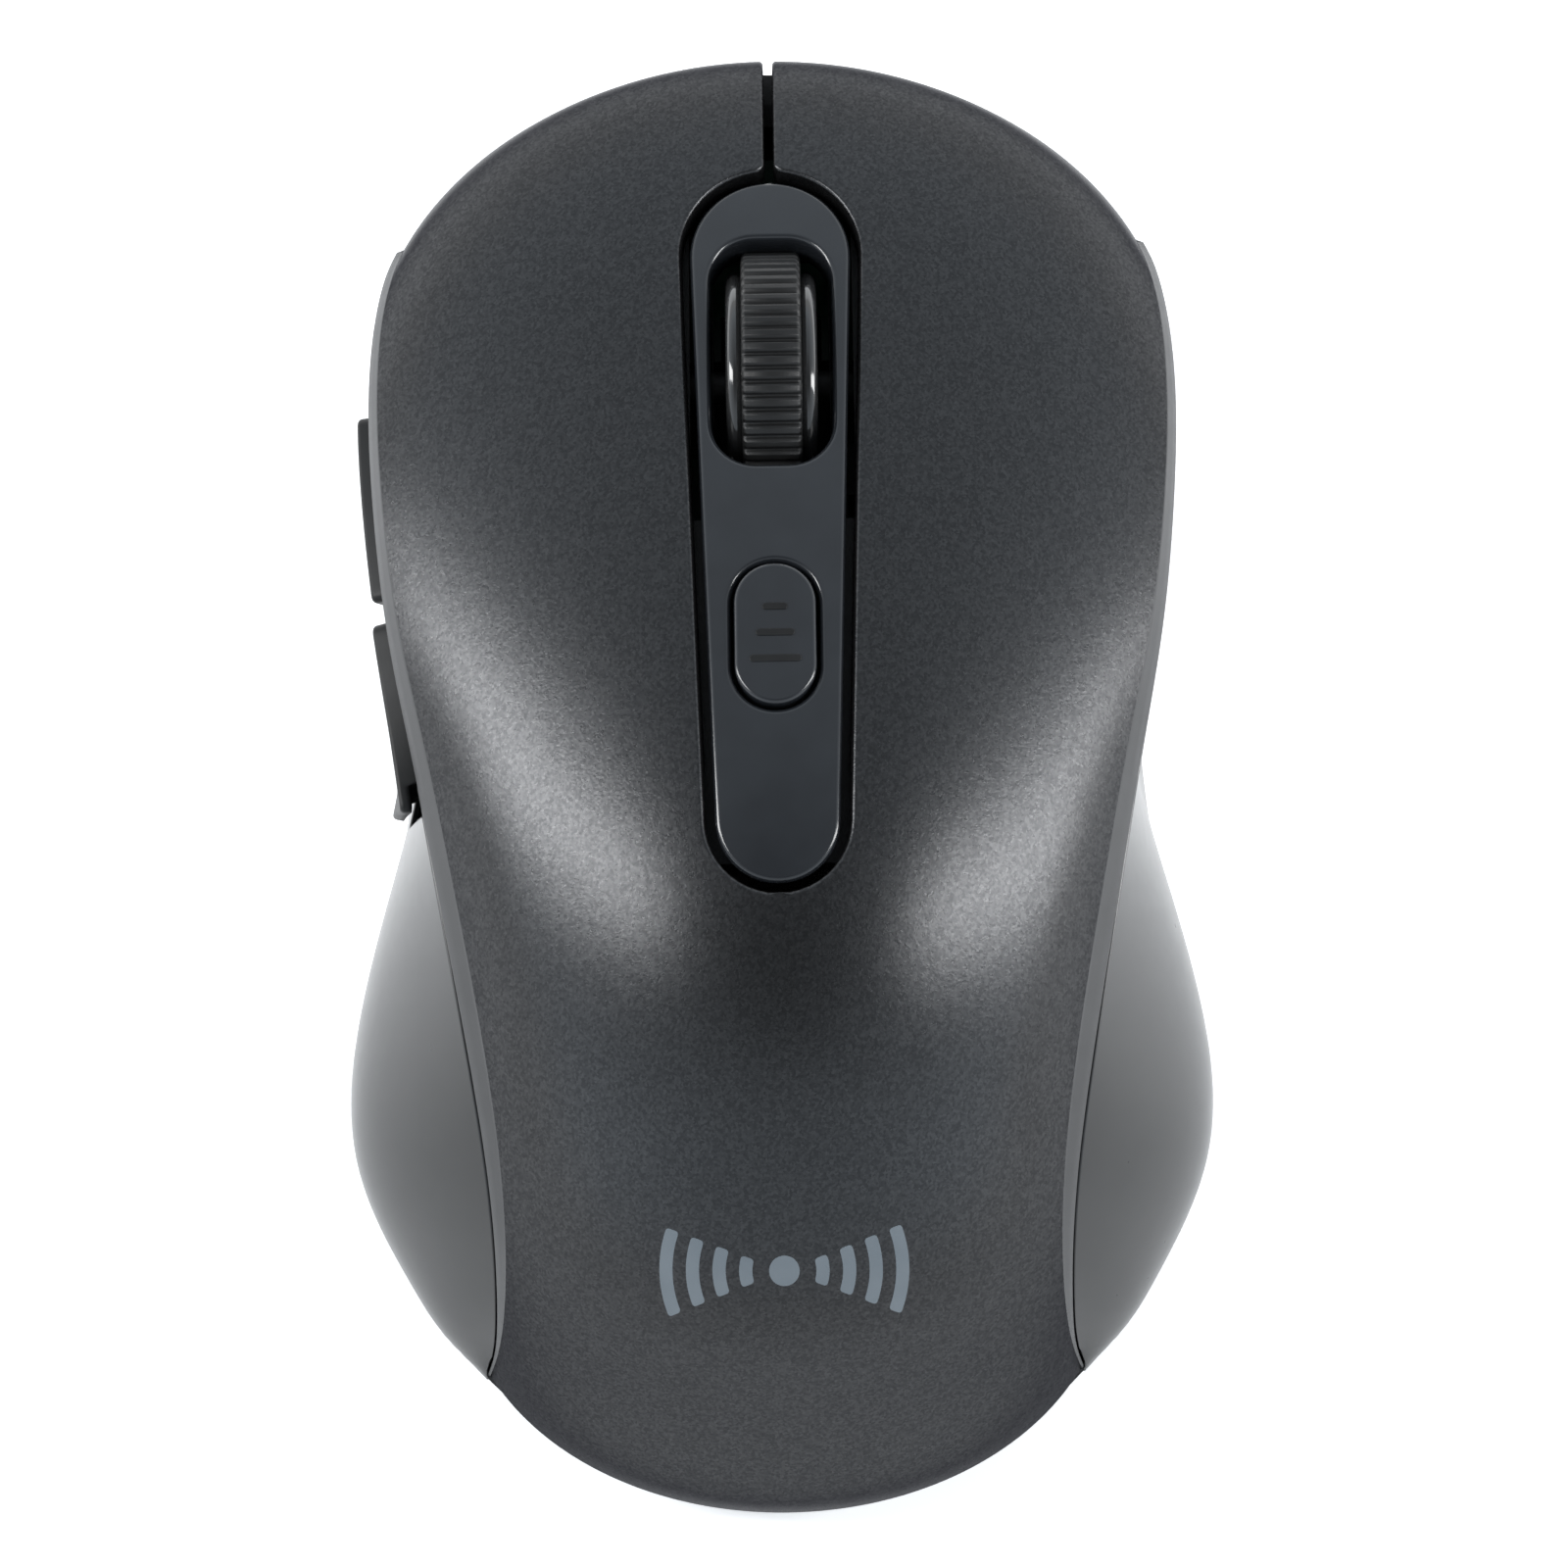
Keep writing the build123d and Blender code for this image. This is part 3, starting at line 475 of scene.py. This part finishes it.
def rim_rows(base, normal, edge, depth, radius):
    """rows round a cut edge: over its rounding, then down the cut"""
    reach = edge - base
    reach -= normal * np.sum(reach * normal, axis=1)[:, None]
    rows = []
    for degrees in EDGE_ANGLES:
        swing = math.radians(degrees)
        rows.append(base + reach * math.sin(swing) - normal * radius * (1 - math.cos(swing)))
    for share in CUT_SHARES:
        rows.append(base + reach - normal * depth * share)
    return rows


def crease_profile(inner, flat):
    """as many rows as rim_rows gives, from the crease over the bevel, round the seam, in along the rim"""
    v = np.clip(-flat[:, 1] / COVER_LENGTH, 0, 1)
    crest = crown(np.ones_like(v), v)
    edge = seam(v)
    rows = [crest + share * (edge - crest) for share in BEVEL_SHARES]
    rows += [edge + share * (inner - edge) for share in RIM_SHARES]
    return rows


def shell(name, loops, place, thickness, radius, step, material,
          mirror=False, band=None, wall_step=WALL_STEP):
    """a closed shell over a surface: rounded at its cut edges, bevelled at its creases

    band is the finish of the bevel"""
    outlines = [drawn_in(place, points, kinds, radius) for points, kinds in loops]
    flat, faces = triangulate(outlines, step)
    count = len(flat)
    outer, normals = place(flat)
    depth = thickness * np.interp(outer[:, 1], wall_step, (REAR_WALL_SHARE, 1.0))[:, None]
    inner = outer - depth * normals
    verts = [outer, inner]
    polygons = faces.tolist() + (faces[:, ::-1] + count).tolist()
    finish = [0] * len(polygons)
    total = 2 * count
    first = 0
    for (points, kinds), outline in zip(loops, outlines):
        size = len(outline)
        own = slice(first, first + size)
        rows = rim_rows(outer[own], normals[own], place(points)[0], depth[own], radius)
        crease = kinds == "crease"
        if crease.any():
            for row, bevel in zip(rows, crease_profile(inner[own][crease], outline[crease])):
                row[crease] = bevel
        verts += rows
        rings = [np.arange(size) + first]
        rings += [total + k * size + np.arange(size) for k in range(len(rows))]
        rings.append(np.arange(size) + first + count)
        on_band = crease & np.roll(crease, -1)
        for level, (ring, below) in enumerate(zip(rings, rings[1:])):
            ahead, below_ahead = np.roll(ring, -1), np.roll(below, -1)
            polygons += np.stack([ahead, ring, below, below_ahead], axis=1).tolist()
            finish += (on_band & (level < BAND_LEVELS)).astype(int).tolist()
        total += len(rows) * size
        first += size
    verts = np.concatenate(verts)
    if mirror:
        verts = verts * [-1, 1, 1]
        normals = normals * [-1, 1, 1]
        polygons = [f[::-1] for f in polygons]
    obj = make_object(name, verts, polygons, material, normals)
    if band:
        obj.data.materials.append(band)
        obj.data.polygons.foreach_set("material_index", finish)
    return obj


def lathe_x(name, profile, centre_y, centre_z, steps, material, wave=None):
    """a ring turned about a line along X: profile is a closed list of (x, radius), wave changes the radius"""
    verts, faces = [], []
    size = len(profile)
    for i in range(steps):
        turn = 2 * math.pi * i / steps
        for j, (x, r) in enumerate(profile):
            r += wave(i, j) if wave else 0
            verts.append((x, centre_y + r * math.cos(turn), centre_z + r * math.sin(turn)))
    for i in range(steps):
        for j in range(size):
            a, b = i * size + j, i * size + (j + 1) % size
            c, d = (i + 1) % steps * size + (j + 1) % size, (i + 1) % steps * size + j
            faces.append((a, d, c, b))
    return make_object(name, verts, faces, material)


# ---- material nodes ----
def new_material(name):
    material = bpy.data.materials.new(name)
    material.use_nodes = True
    tree = material.node_tree
    tree.nodes.clear()
    out = tree.nodes.new("ShaderNodeOutputMaterial")
    shader = tree.nodes.new("ShaderNodeBsdfPrincipled")
    tree.links.new(shader.outputs[0], out.inputs[0])
    place = tree.nodes.new("ShaderNodeTexCoord")
    return material, tree, shader, place.outputs["Object"]


def shader_of(material):
    return next(node for node in material.node_tree.nodes if node.type == "BSDF_PRINCIPLED")


def noise(tree, vector, scale, detail=2.0, rough=0.5):
    """a noise pattern, scale in features for each metre"""
    node = tree.nodes.new("ShaderNodeTexNoise")
    node.inputs["Scale"].default_value = scale
    node.inputs["Detail"].default_value = detail
    node.inputs["Roughness"].default_value = rough
    tree.links.new(vector, node.inputs["Vector"])
    return node.outputs["Fac"]


def cells(tree, vector, scale):
    """a pattern of cells with a random colour each, scale as for noise"""
    node = tree.nodes.new("ShaderNodeTexVoronoi")
    node.inputs["Scale"].default_value = scale
    tree.links.new(vector, node.inputs["Vector"])
    return node.outputs["Color"]


def colour_stops(tree, value, *stops):
    """colour that follows value through the stops, each a (position, colour)"""
    node = tree.nodes.new("ShaderNodeValToRGB")
    elements = node.color_ramp.elements
    for element, (position, colour) in zip(elements, (stops[0], stops[-1])):
        element.position = position
        element.color = (*colour, 1)
    for position, colour in stops[1:-1]:
        elements.new(position).color = (*colour, 1)
    tree.links.new(value, node.inputs[0])
    return node.outputs[0]


def spread(tree, value, low, high, start=0.0, end=1.0):
    """low where value is start, high where it is end"""
    node = tree.nodes.new("ShaderNodeMapRange")
    for name, setting in (("From Min", start), ("From Max", end), ("To Min", low), ("To Max", high)):
        node.inputs[name].default_value = setting
    tree.links.new(value, node.inputs["Value"])
    return node.outputs[0]


def split_axes(tree, vector):
    node = tree.nodes.new("ShaderNodeSeparateXYZ")
    tree.links.new(vector, node.inputs[0])
    return node.outputs


def bump(tree, shader, height, depth, strength):
    """depth in metres"""
    node = tree.nodes.new("ShaderNodeBump")
    node.inputs["Distance"].default_value = depth
    node.inputs["Strength"].default_value = strength
    tree.links.new(height, node.inputs["Height"])
    tree.links.new(node.outputs[0], shader.inputs["Normal"])


def grey(level, blue=1.0):
    return (level, level, level * blue)


# ---- materials ----
def plastic(name, low, high, rough, grain, depth, scale=9000,
            coat=0.0, metallic=0.0, spec=0.5, coat_rough=0.08):
    """moulded plastic: faint mottling, uneven gloss and a fine moulded grain"""
    material, tree, shader, where = new_material(name)
    mottle = noise(tree, where, 220, 4)
    tree.links.new(colour_stops(tree, mottle, (0.35, low), (0.65, high)), shader.inputs["Base Color"])
    gloss = noise(tree, where, 700, 3)
    tree.links.new(spread(tree, gloss, rough - 0.05, rough + 0.05), shader.inputs["Roughness"])
    shader.inputs["Metallic"].default_value = metallic
    shader.inputs["Specular IOR Level"].default_value = spec
    shader.inputs["Coat Weight"].default_value = coat
    shader.inputs["Coat Roughness"].default_value = coat_rough
    bump(tree, shader, noise(tree, where, scale, 2), depth, grain)
    return material


def cover_paint():
    """dark metallic paint: fine flakes that catch the light one by one"""
    material, tree, shader, where = new_material("cover_paint")
    dark_flake, light_flake = (0.045, 0.0455, 0.047), (0.075, 0.0755, 0.077)
    flakes = colour_stops(tree, cells(tree, where, 5200), (0.2, dark_flake), (0.95, light_flake))
    tree.links.new(flakes, shader.inputs["Base Color"])
    shader.inputs["Metallic"].default_value = 0.9
    shader.inputs["Specular Tint"].default_value = (0.35, 0.35, 0.36, 1)
    gloss = noise(tree, where, 2500, 2)
    tree.links.new(spread(tree, gloss, 0.25, 0.31), shader.inputs["Roughness"])
    bump(tree, shader, noise(tree, where, 4200, 3, 0.7), 0.00003, 0.55)
    return material


def paint_rear_shade(material, *sockets):
    """painted shade: turns a finish down towards the rear, so it reflects less there, as (socket, rear value,
    front value)
    """
    rear_y, front_y = -0.045, 0.0
    tree = material.node_tree
    place = tree.nodes.new("ShaderNodeTexCoord")
    y = split_axes(tree, place.outputs["Object"])["Y"]
    for socket, rear, front in sockets:
        fade = spread(tree, y, rear, front, rear_y, front_y)
        tree.links.new(fade, shader_of(material).inputs[socket])


PAINT = cover_paint()
PANEL = plastic("side_panel_satin", grey(0.012), grey(0.015), 0.3, 0.2, 0.00002, coat=1.0, coat_rough=0.3)
# painted shade: the panels' coat and specular fall towards the rear, so their rear reflects less and looks
# darker
paint_rear_shade(PANEL, ("Coat Weight", 0.35, 1.0), ("Specular IOR Level", 0.25, 0.5))
BEVEL = plastic("bevel_satin", grey(0.04, 1.03), grey(0.046, 1.03), 0.4, 0.2, 0.00002)
STRIP = plastic("strip_gloss", (0.012, 0.0135, 0.016), (0.015, 0.017, 0.02), 0.2, 0.08, 0.00002, 3000,
                coat=0.5)
BUTTON = plastic("thumb_button_black", grey(0.009), grey(0.012), 0.45, 0.3, 0.00002, spec=0.3)
MOULDED = plastic("moulded_black", grey(0.018), grey(0.026), 0.55, 0.6, 0.00004, 5000)
GLIDE = plastic("glide_film", grey(0.05), grey(0.06), 0.35, 0.1, 0.00001)
RUBBER = plastic("wheel_rubber", grey(0.006), grey(0.01), 0.42, 0.4, 0.00003, 6000, spec=0.4)
GLOSS = plastic("hub_gloss", grey(0.02), grey(0.024), 0.12, 0.05, 0.00001, 2500, coat=0.8)
MARK = plastic("printed_mark", (0.13, 0.155, 0.175), (0.15, 0.175, 0.195), 0.5, 0.2, 0.00001)
STEEL = plastic("plated_steel", grey(0.55), grey(0.65), 0.25, 0.15, 0.00001, 4000, metallic=1.0)
LABEL = plastic("label_film", grey(0.35), grey(0.4), 0.4, 0.1, 0.00001)
GREEN = plastic("solder_mask", (0.01, 0.09, 0.04), (0.015, 0.13, 0.06), 0.3, 0.2, 0.00002, 2500)
JACKET = plastic("cell_jacket", (0.02, 0.05, 0.12), (0.03, 0.07, 0.16), 0.3, 0.1, 0.00001, 3000)
INNER = plastic("inner_plastic", grey(0.012), grey(0.016), 0.55, 0.3, 0.00003)
LENS = plastic("clear_lens", (0.7, 0.75, 0.8), (0.8, 0.85, 0.9), 0.15, 0.05, 0.00001)
shader_of(LENS).inputs["Transmission Weight"].default_value = 0.8

NODE_MATERIALS = {
    "cover_paint": PAINT, "side_satin": PANEL, "gloss_black": STRIP, "button_black": BUTTON,
    "matte_black": MOULDED, "inner_plastic": INNER, "glide": GLIDE, "tyre_rubber": RUBBER, "label": LABEL,
    "circuit_board": GREEN, "plated_steel": STEEL, "cell_jacket": JACKET, "clear_lens": LENS,
    "capacitor_can": STEEL,
}
SLOT_OF = {part["node"]: part["material_slot"] for part in frame["record"]["subparts"]}
for node, obj in frame["nodes"].items():
    obj.data.materials.clear()
    obj.data.materials.append(INNER if node == "wheel_axle" else NODE_MATERIALS[SLOT_OF[node]])


# ---- cover and keys ----
def slot_half(outset):
    """right half of the strip's slot in plan, from its front to its rear"""
    front_y, front_r = SLOT_FRONT
    rear_y, rear_r = SLOT_REAR
    tilt = math.degrees(math.asin((front_r - rear_r) / (front_y - rear_y)))
    front = arc(0, front_y, front_r + outset, 90, -tilt)
    rear = arc(0, rear_y, rear_r + outset, -tilt, -90)
    return resample(np.concatenate([front, rear]), 0.3)


def cover_loop():
    """outline of the right half: rear edge, crease, lip, split, slot and centre line"""
    width_rear = arc_width(np.array([1.0]))[0]
    width_front = arc_width(np.array([0.0]))[0]
    rear = line((0, -COVER_LENGTH), (width_rear, -COVER_LENGTH))
    v = np.linspace(1, 0, 300)
    crease = np.stack([arc_width(v), -v * COVER_LENGTH], axis=1)
    split_x = KEY_SPLIT / 2
    lip = line((width_front, 0), (split_x, 0))
    slot = plan_to_cover(slot_half(0))
    slot = slot[int(np.argmax(slot[:, 0] >= split_x)):]
    split = line((split_x, 0), (split_x, slot[0, 1]))
    centre = line(slot[-1], (0, -COVER_LENGTH))
    runs = [(rear, "cut", 0), (crease, "crease", 0), (lip, "cut", 0), (split, "cut", 1.1),
            (slot, "cut", 0.6), (centre, "centre", 0)]
    return loop(runs, 0.75)


COVER_LOOP = cover_loop()
for side, key, extra in (("right", "right_key", ["palm_cover"]), ("left", "left_key", [])):
    half = shell("cover_" + side, [COVER_LOOP], cover_place, thickness=WALL, radius=0.3, step=0.85,
                 material=PAINT, mirror=side == "left", band=BEVEL)
    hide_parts(key, *extra)
    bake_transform(half)


# ---- centre strip and resolution button ----
# an end's two corners are this much short of a half circle, so that they don't meet in one point
END_FLAT = 0.01


def slot_whole(outset):
    right = slot_half(outset)
    left = right[::-1] * [-1, 1]
    return np.concatenate([left[:-1], right[:-1]])[::-1]


def rounded_box(x0, x1, y0, y1, r):
    corners = [(x1 - r, y1 - r, 0), (x0 + r, y1 - r, 90), (x0 + r, y0 + r, 180), (x1 - r, y0 + r, 270)]
    return np.concatenate([arc(x, y, r, a, a + 90) for x, y, a in corners])


def dpi_outline(outset):
    """the resolution button's outline in plan, or the hole around it"""
    rear, front, half = DPI_SPAN
    half = half + outset
    return rounded_box(-half, half, rear - outset, front + outset, half - END_FLAT)


def make_strip():
    """the strip, with its holes for the wheel and the button"""
    rear_y, front_y, half, corner = WHEEL_SLOT
    wheel_hole = rounded_box(-half, half, rear_y, front_y, corner)[::-1]
    dpi_hole = dpi_outline(DPI_GAP)[::-1]
    loops = [closed(slot_whole(-STRIP_GAP), 0.5), closed(wheel_hole, 0.5), closed(dpi_hole, 0.35)]
    strip = shell("strip_cover", loops, plan_place(STRIP_SINK), thickness=2.9, radius=0.45, step=0.8,
                  material=STRIP)
    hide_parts("centre_strip")
    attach(strip, "mouse_body")


def make_resolution_cap():
    cap = shell("resolution_cap", [closed(dpi_outline(0), 0.35)], plan_place(-DPI_PROUD), thickness=2.3,
                radius=0.35, step=0.5, material=STRIP)
    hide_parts("dpi_button")
    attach(cap, "dpi_button")


def make_step_bars():
    """three bars that grow, standing just proud of the resolution button"""
    front_y, pitch = 11.25, 2.0
    half_width, corner = 0.27, 0.26
    for i, half in enumerate((0.95, 1.45, 1.95)):
        y = front_y - pitch * i
        outline = rounded_box(-half, half, y - half_width, y + half_width, corner)
        bar = shell("step_bar_" + str(i + 1), [closed(outline, 0.15)], plan_place(-0.2), thickness=0.25,
                    radius=0.06, step=0.25, material=BUTTON)
        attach(bar, "dpi_button")


def ring_sector(cy, radius, width, middle, spread_angle):
    """closed outline of part of a ring about (0, cy)"""
    a0, a1 = middle - spread_angle, middle + spread_angle
    outer = arc(0, cy, radius + width / 2, a0, a1)
    inner = arc(0, cy, radius - width / 2, a1, a0)
    sides = [outer, line(outer[-1], inner[0]), inner, line(inner[-1], outer[0])]
    return loop([(side, "cut", 0.3) for side in sides], 0.3)


def make_mark():
    """printed wireless mark on the back: a dot between arcs"""
    cy, dot_radius = -38.3, 1.15
    shapes = [closed(arc(0, cy, dot_radius, 0, 360)[:-1], 0.25)]
    for radius in (2.9, 4.9, 6.9, 8.9):
        for middle in (0, 180):
            shapes.append(ring_sector(cy, radius, 1.0, middle, 21))
    for i, shape in enumerate(shapes):
        piece = shell("wireless_mark_" + str(i), [shape], plan_place(-0.02), thickness=0.05, radius=0.015,
                      step=0.4, material=MARK)
        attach(piece, "mouse_body")


make_strip()
make_resolution_cap()
make_step_bars()
make_mark()


# ---- side panels ----
def panel_loops(notched):
    """outline of a panel, with the notch for the thumb buttons where there is one"""
    v = np.linspace(0, PANEL_END, 260)
    top = np.stack([-v * PANEL_LENGTH, np.zeros_like(v)], axis=1)
    foot = np.stack([-v * PANEL_LENGTH, -panel_height(v)], axis=1)
    front = line(foot[0], top[0])
    rear = line(top[-1], foot[-1])
    if not notched:
        runs = [(foot[::-1], "cut", 0), (front, "cut", 0.8), (top, "cut", 0.8), (rear, "cut", 0)]
        return loop(runs, 0.8)
    y = np.linspace(SIDE_SPANS["forward"][1] + NOTCH_GAP, SIDE_SPANS["back"][0] - NOTCH_GAP, 90)
    floor = side_to_panel(np.stack([y, np.full_like(y, SIDE_BOTTOM_Z - NOTCH_GAP)], axis=1))
    tops = [floor[0] * [1, 0], floor[-1] * [1, 0]]
    before = top[top[:, 0] > tops[0][0]]
    after = top[top[:, 0] < tops[1][0]]
    runs = [(foot[::-1], "cut", 0), (front, "cut", 0.8),
            (np.concatenate([before, tops[:1]]), "cut", 0.8), (line(tops[0], floor[0]), "cut", 0.5),
            (floor, "cut", 0.9), (line(floor[-1], tops[1]), "cut", 0.9),
            (np.concatenate([tops[1:], after]), "cut", 0.5), (rear, "cut", 0)]
    return loop(runs, 0.8)


for side in ("left", "right"):
    outline = panel_loops(side == "left")
    piece = shell("side_panel_" + side, [outline], panel_place(0), thickness=PANEL_WALL - PANEL_INSIDE_GAP,
                  radius=0.2, step=0.95, material=PANEL, mirror=side == "left", wall_step=PANEL_WALL_STEP)
    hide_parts(side + "_side_panel")
    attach(piece, "mouse_body")


# ---- thumb buttons ----
def thumb_button(name):
    """a button that fills its span of the notch, from the seam down"""
    rear_y, front_y = SIDE_SPANS[name]
    y = np.linspace(front_y, rear_y, 50)
    floor = side_to_panel(np.stack([y, np.full_like(y, SIDE_BOTTOM_Z)], axis=1))
    top = np.stack([floor[:, 0], np.full(len(floor), -SIDE_TOP_GAP)], axis=1)
    runs = [(floor[::-1], "cut", 1.0), (line(floor[0], top[0]), "cut", 1.0), (top, "cut", 0.8),
            (line(top[-1], floor[-1]), "cut", 0.8)]
    piece = shell("thumb_" + name, [loop(runs, 0.4)], panel_place(SIDE_PROUD[name]), thickness=3.2,
                  radius=0.33, step=0.6, material=BUTTON, mirror=True)
    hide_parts(name + "_button")
    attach(piece, name + "_button")


for name in SIDE_SPANS:
    thumb_button(name)


# ---- scroll wheel ----
RIBS = 60
RIB_STEPS = 8
RIB_DEPTH = 0.42
TYRE_HALF = 2.3
HUB_HALF = 3.5


def make_tyre():
    """the tread, with grooves across it that run out at both sides"""
    half = TYRE_HALF
    tread = [(-half, 8.7), (-half, 9.9), (-half + 0.12, 10.25), (-half + 0.35, 10.45), (half - 0.35, 10.45),
             (half - 0.12, 10.25), (half, 9.9), (half, 8.7)]
    share = [0, 0.25, 0.7, 1, 1, 0.7, 0.25, 0]

    def wave(i, j):
        phase = i % RIB_STEPS / RIB_STEPS
        dip = max(0.0, math.cos(2 * math.pi * phase)) ** 0.7
        return -RIB_DEPTH * dip * share[j]

    tyre = lathe_x("wheel_tread", tread, WHEEL_Y, WHEEL_Z, RIBS * RIB_STEPS, RUBBER, wave)
    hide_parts("wheel_tyre")
    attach(tyre, "wheel")


def make_hub():
    """the glossy hub: a thin web with a rim on both sides of the tyre"""
    half = HUB_HALF
    flange = [(-half, 2.6), (-half, 1.25), (half, 1.25), (half, 2.6), (half - 1.2, 2.9), (half - 1.2, 7.1),
              (half, 7.5), (half, 8.2), (half - 0.15, 8.6), (half - 0.45, 8.85), (half - 0.9, 8.9),
              (2.25, 8.6), (-2.25, 8.6), (-half + 0.9, 8.9), (-half + 0.45, 8.85), (-half + 0.15, 8.6),
              (-half, 8.2), (-half, 7.5), (-half + 1.2, 7.1), (-half + 1.2, 2.9)]
    hub = lathe_x("wheel_rim", flange, WHEEL_Y, WHEEL_Z, 120, GLOSS)
    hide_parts("wheel_hub")
    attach(hub, "wheel")


make_tyre()
make_hub()


# ---- floor, light and camera ----
def make_floor():
    """a pale floor that glows, more towards the front, where the panels reflect it"""
    material, tree, shader, where = new_material("pale_floor")
    colour = colour_stops(tree, noise(tree, where, 3, 2), (0.3, grey(0.9)), (0.7, grey(0.92)))
    tree.links.new(colour, shader.inputs["Base Color"])
    tree.links.new(colour, shader.inputs["Emission Color"])
    shader.inputs["Roughness"].default_value = 0.7
    rear_y, front_y = -0.08, 0.03
    glow = spread(tree, split_axes(tree, where)["Y"], 0.3, 0.75, rear_y, front_y)
    tree.links.new(glow, shader.inputs["Emission Strength"])
    mesh = bpy.data.meshes.new("floor")
    size, z = 3.0, -0.00003
    corners = [(-size, -size), (size, -size), (size, size), (-size, size)]
    mesh.from_pydata([(x, y, z) for x, y in corners], [], [(0, 1, 2, 3)])
    mesh.materials.append(material)
    obj = bpy.data.objects.new("floor", mesh)
    bpy.context.scene.collection.objects.link(obj)


def make_world():
    """a pale surround, darker overhead and brighter behind"""
    world = bpy.data.worlds.new("studio")
    world.use_nodes = True
    tree = world.node_tree
    where = tree.nodes.new("ShaderNodeTexCoord")
    axes = split_axes(tree, where.outputs["Generated"])
    stops = [(position, (level * 0.91, level, level * 1.09))
             for position, level in ((0.3, 0.95), (0.6, 0.66), (0.88, 0.42))]
    colour = colour_stops(tree, axes["Z"], (0.0, grey(1)), *stops, (1.0, (0.09, 0.095, 0.1)))
    tree.links.new(colour, tree.nodes["Background"].inputs[0])
    backward = tree.nodes.new("ShaderNodeMath")
    backward.operation = "MULTIPLY"
    backward.inputs[1].default_value = -1.0
    tree.links.new(axes["Y"], backward.inputs[0])
    strength = colour_stops(tree, backward.outputs[0], (0.0, grey(1)), (0.55, grey(1.5)), (1.0, grey(0.8)))
    tree.links.new(strength, tree.nodes["Background"].inputs[1])
    bpy.context.scene.world = world


def side_light(name, place, power):
    """a tall soft light, turned to the mouse"""
    target = Vector((0, 0, 0.02))
    data = bpy.data.lights.new(name, "AREA")
    data.shape = "RECTANGLE"
    data.size, data.size_y = 0.12, 0.52
    data.energy = power
    obj = bpy.data.objects.new(name, data)
    obj.location = place
    obj.rotation_euler = (target - Vector(place)).to_track_quat("-Z", "Y").to_euler()
    bpy.context.scene.collection.objects.link(obj)


def make_camera():
    """close to straight above, as in the photo"""
    azimuth, elevation, roll = (math.radians(angle) for angle in (-0.38, 85.3, -0.44))
    distance = 0.430
    target = Vector((0, 0, 0.016))
    shift = Vector((0.00051, -0.00054, 0))
    back = Vector((math.sin(azimuth) * math.cos(elevation), -math.cos(azimuth) * math.cos(elevation),
                   math.sin(elevation)))
    data = bpy.data.cameras.new("camera")
    data.lens = 126.5
    data.sensor_width = 36
    obj = bpy.data.objects.new("camera", data)
    turn = back.to_track_quat("Z", "Y").to_matrix() @ Matrix.Rotation(roll, 3, "Z")
    obj.rotation_euler = turn.to_euler()
    obj.location = target + turn @ shift + distance * back
    bpy.context.scene.collection.objects.link(obj)
    bpy.context.scene.camera = obj


make_floor()
make_world()
side_light("side_left", (-0.48, 0.104, 0.37), 2.3)
side_light("side_right", (0.52, 0.028, 0.32), 2.15)
make_camera()
bpy.context.scene.view_settings.view_transform = "Standard"
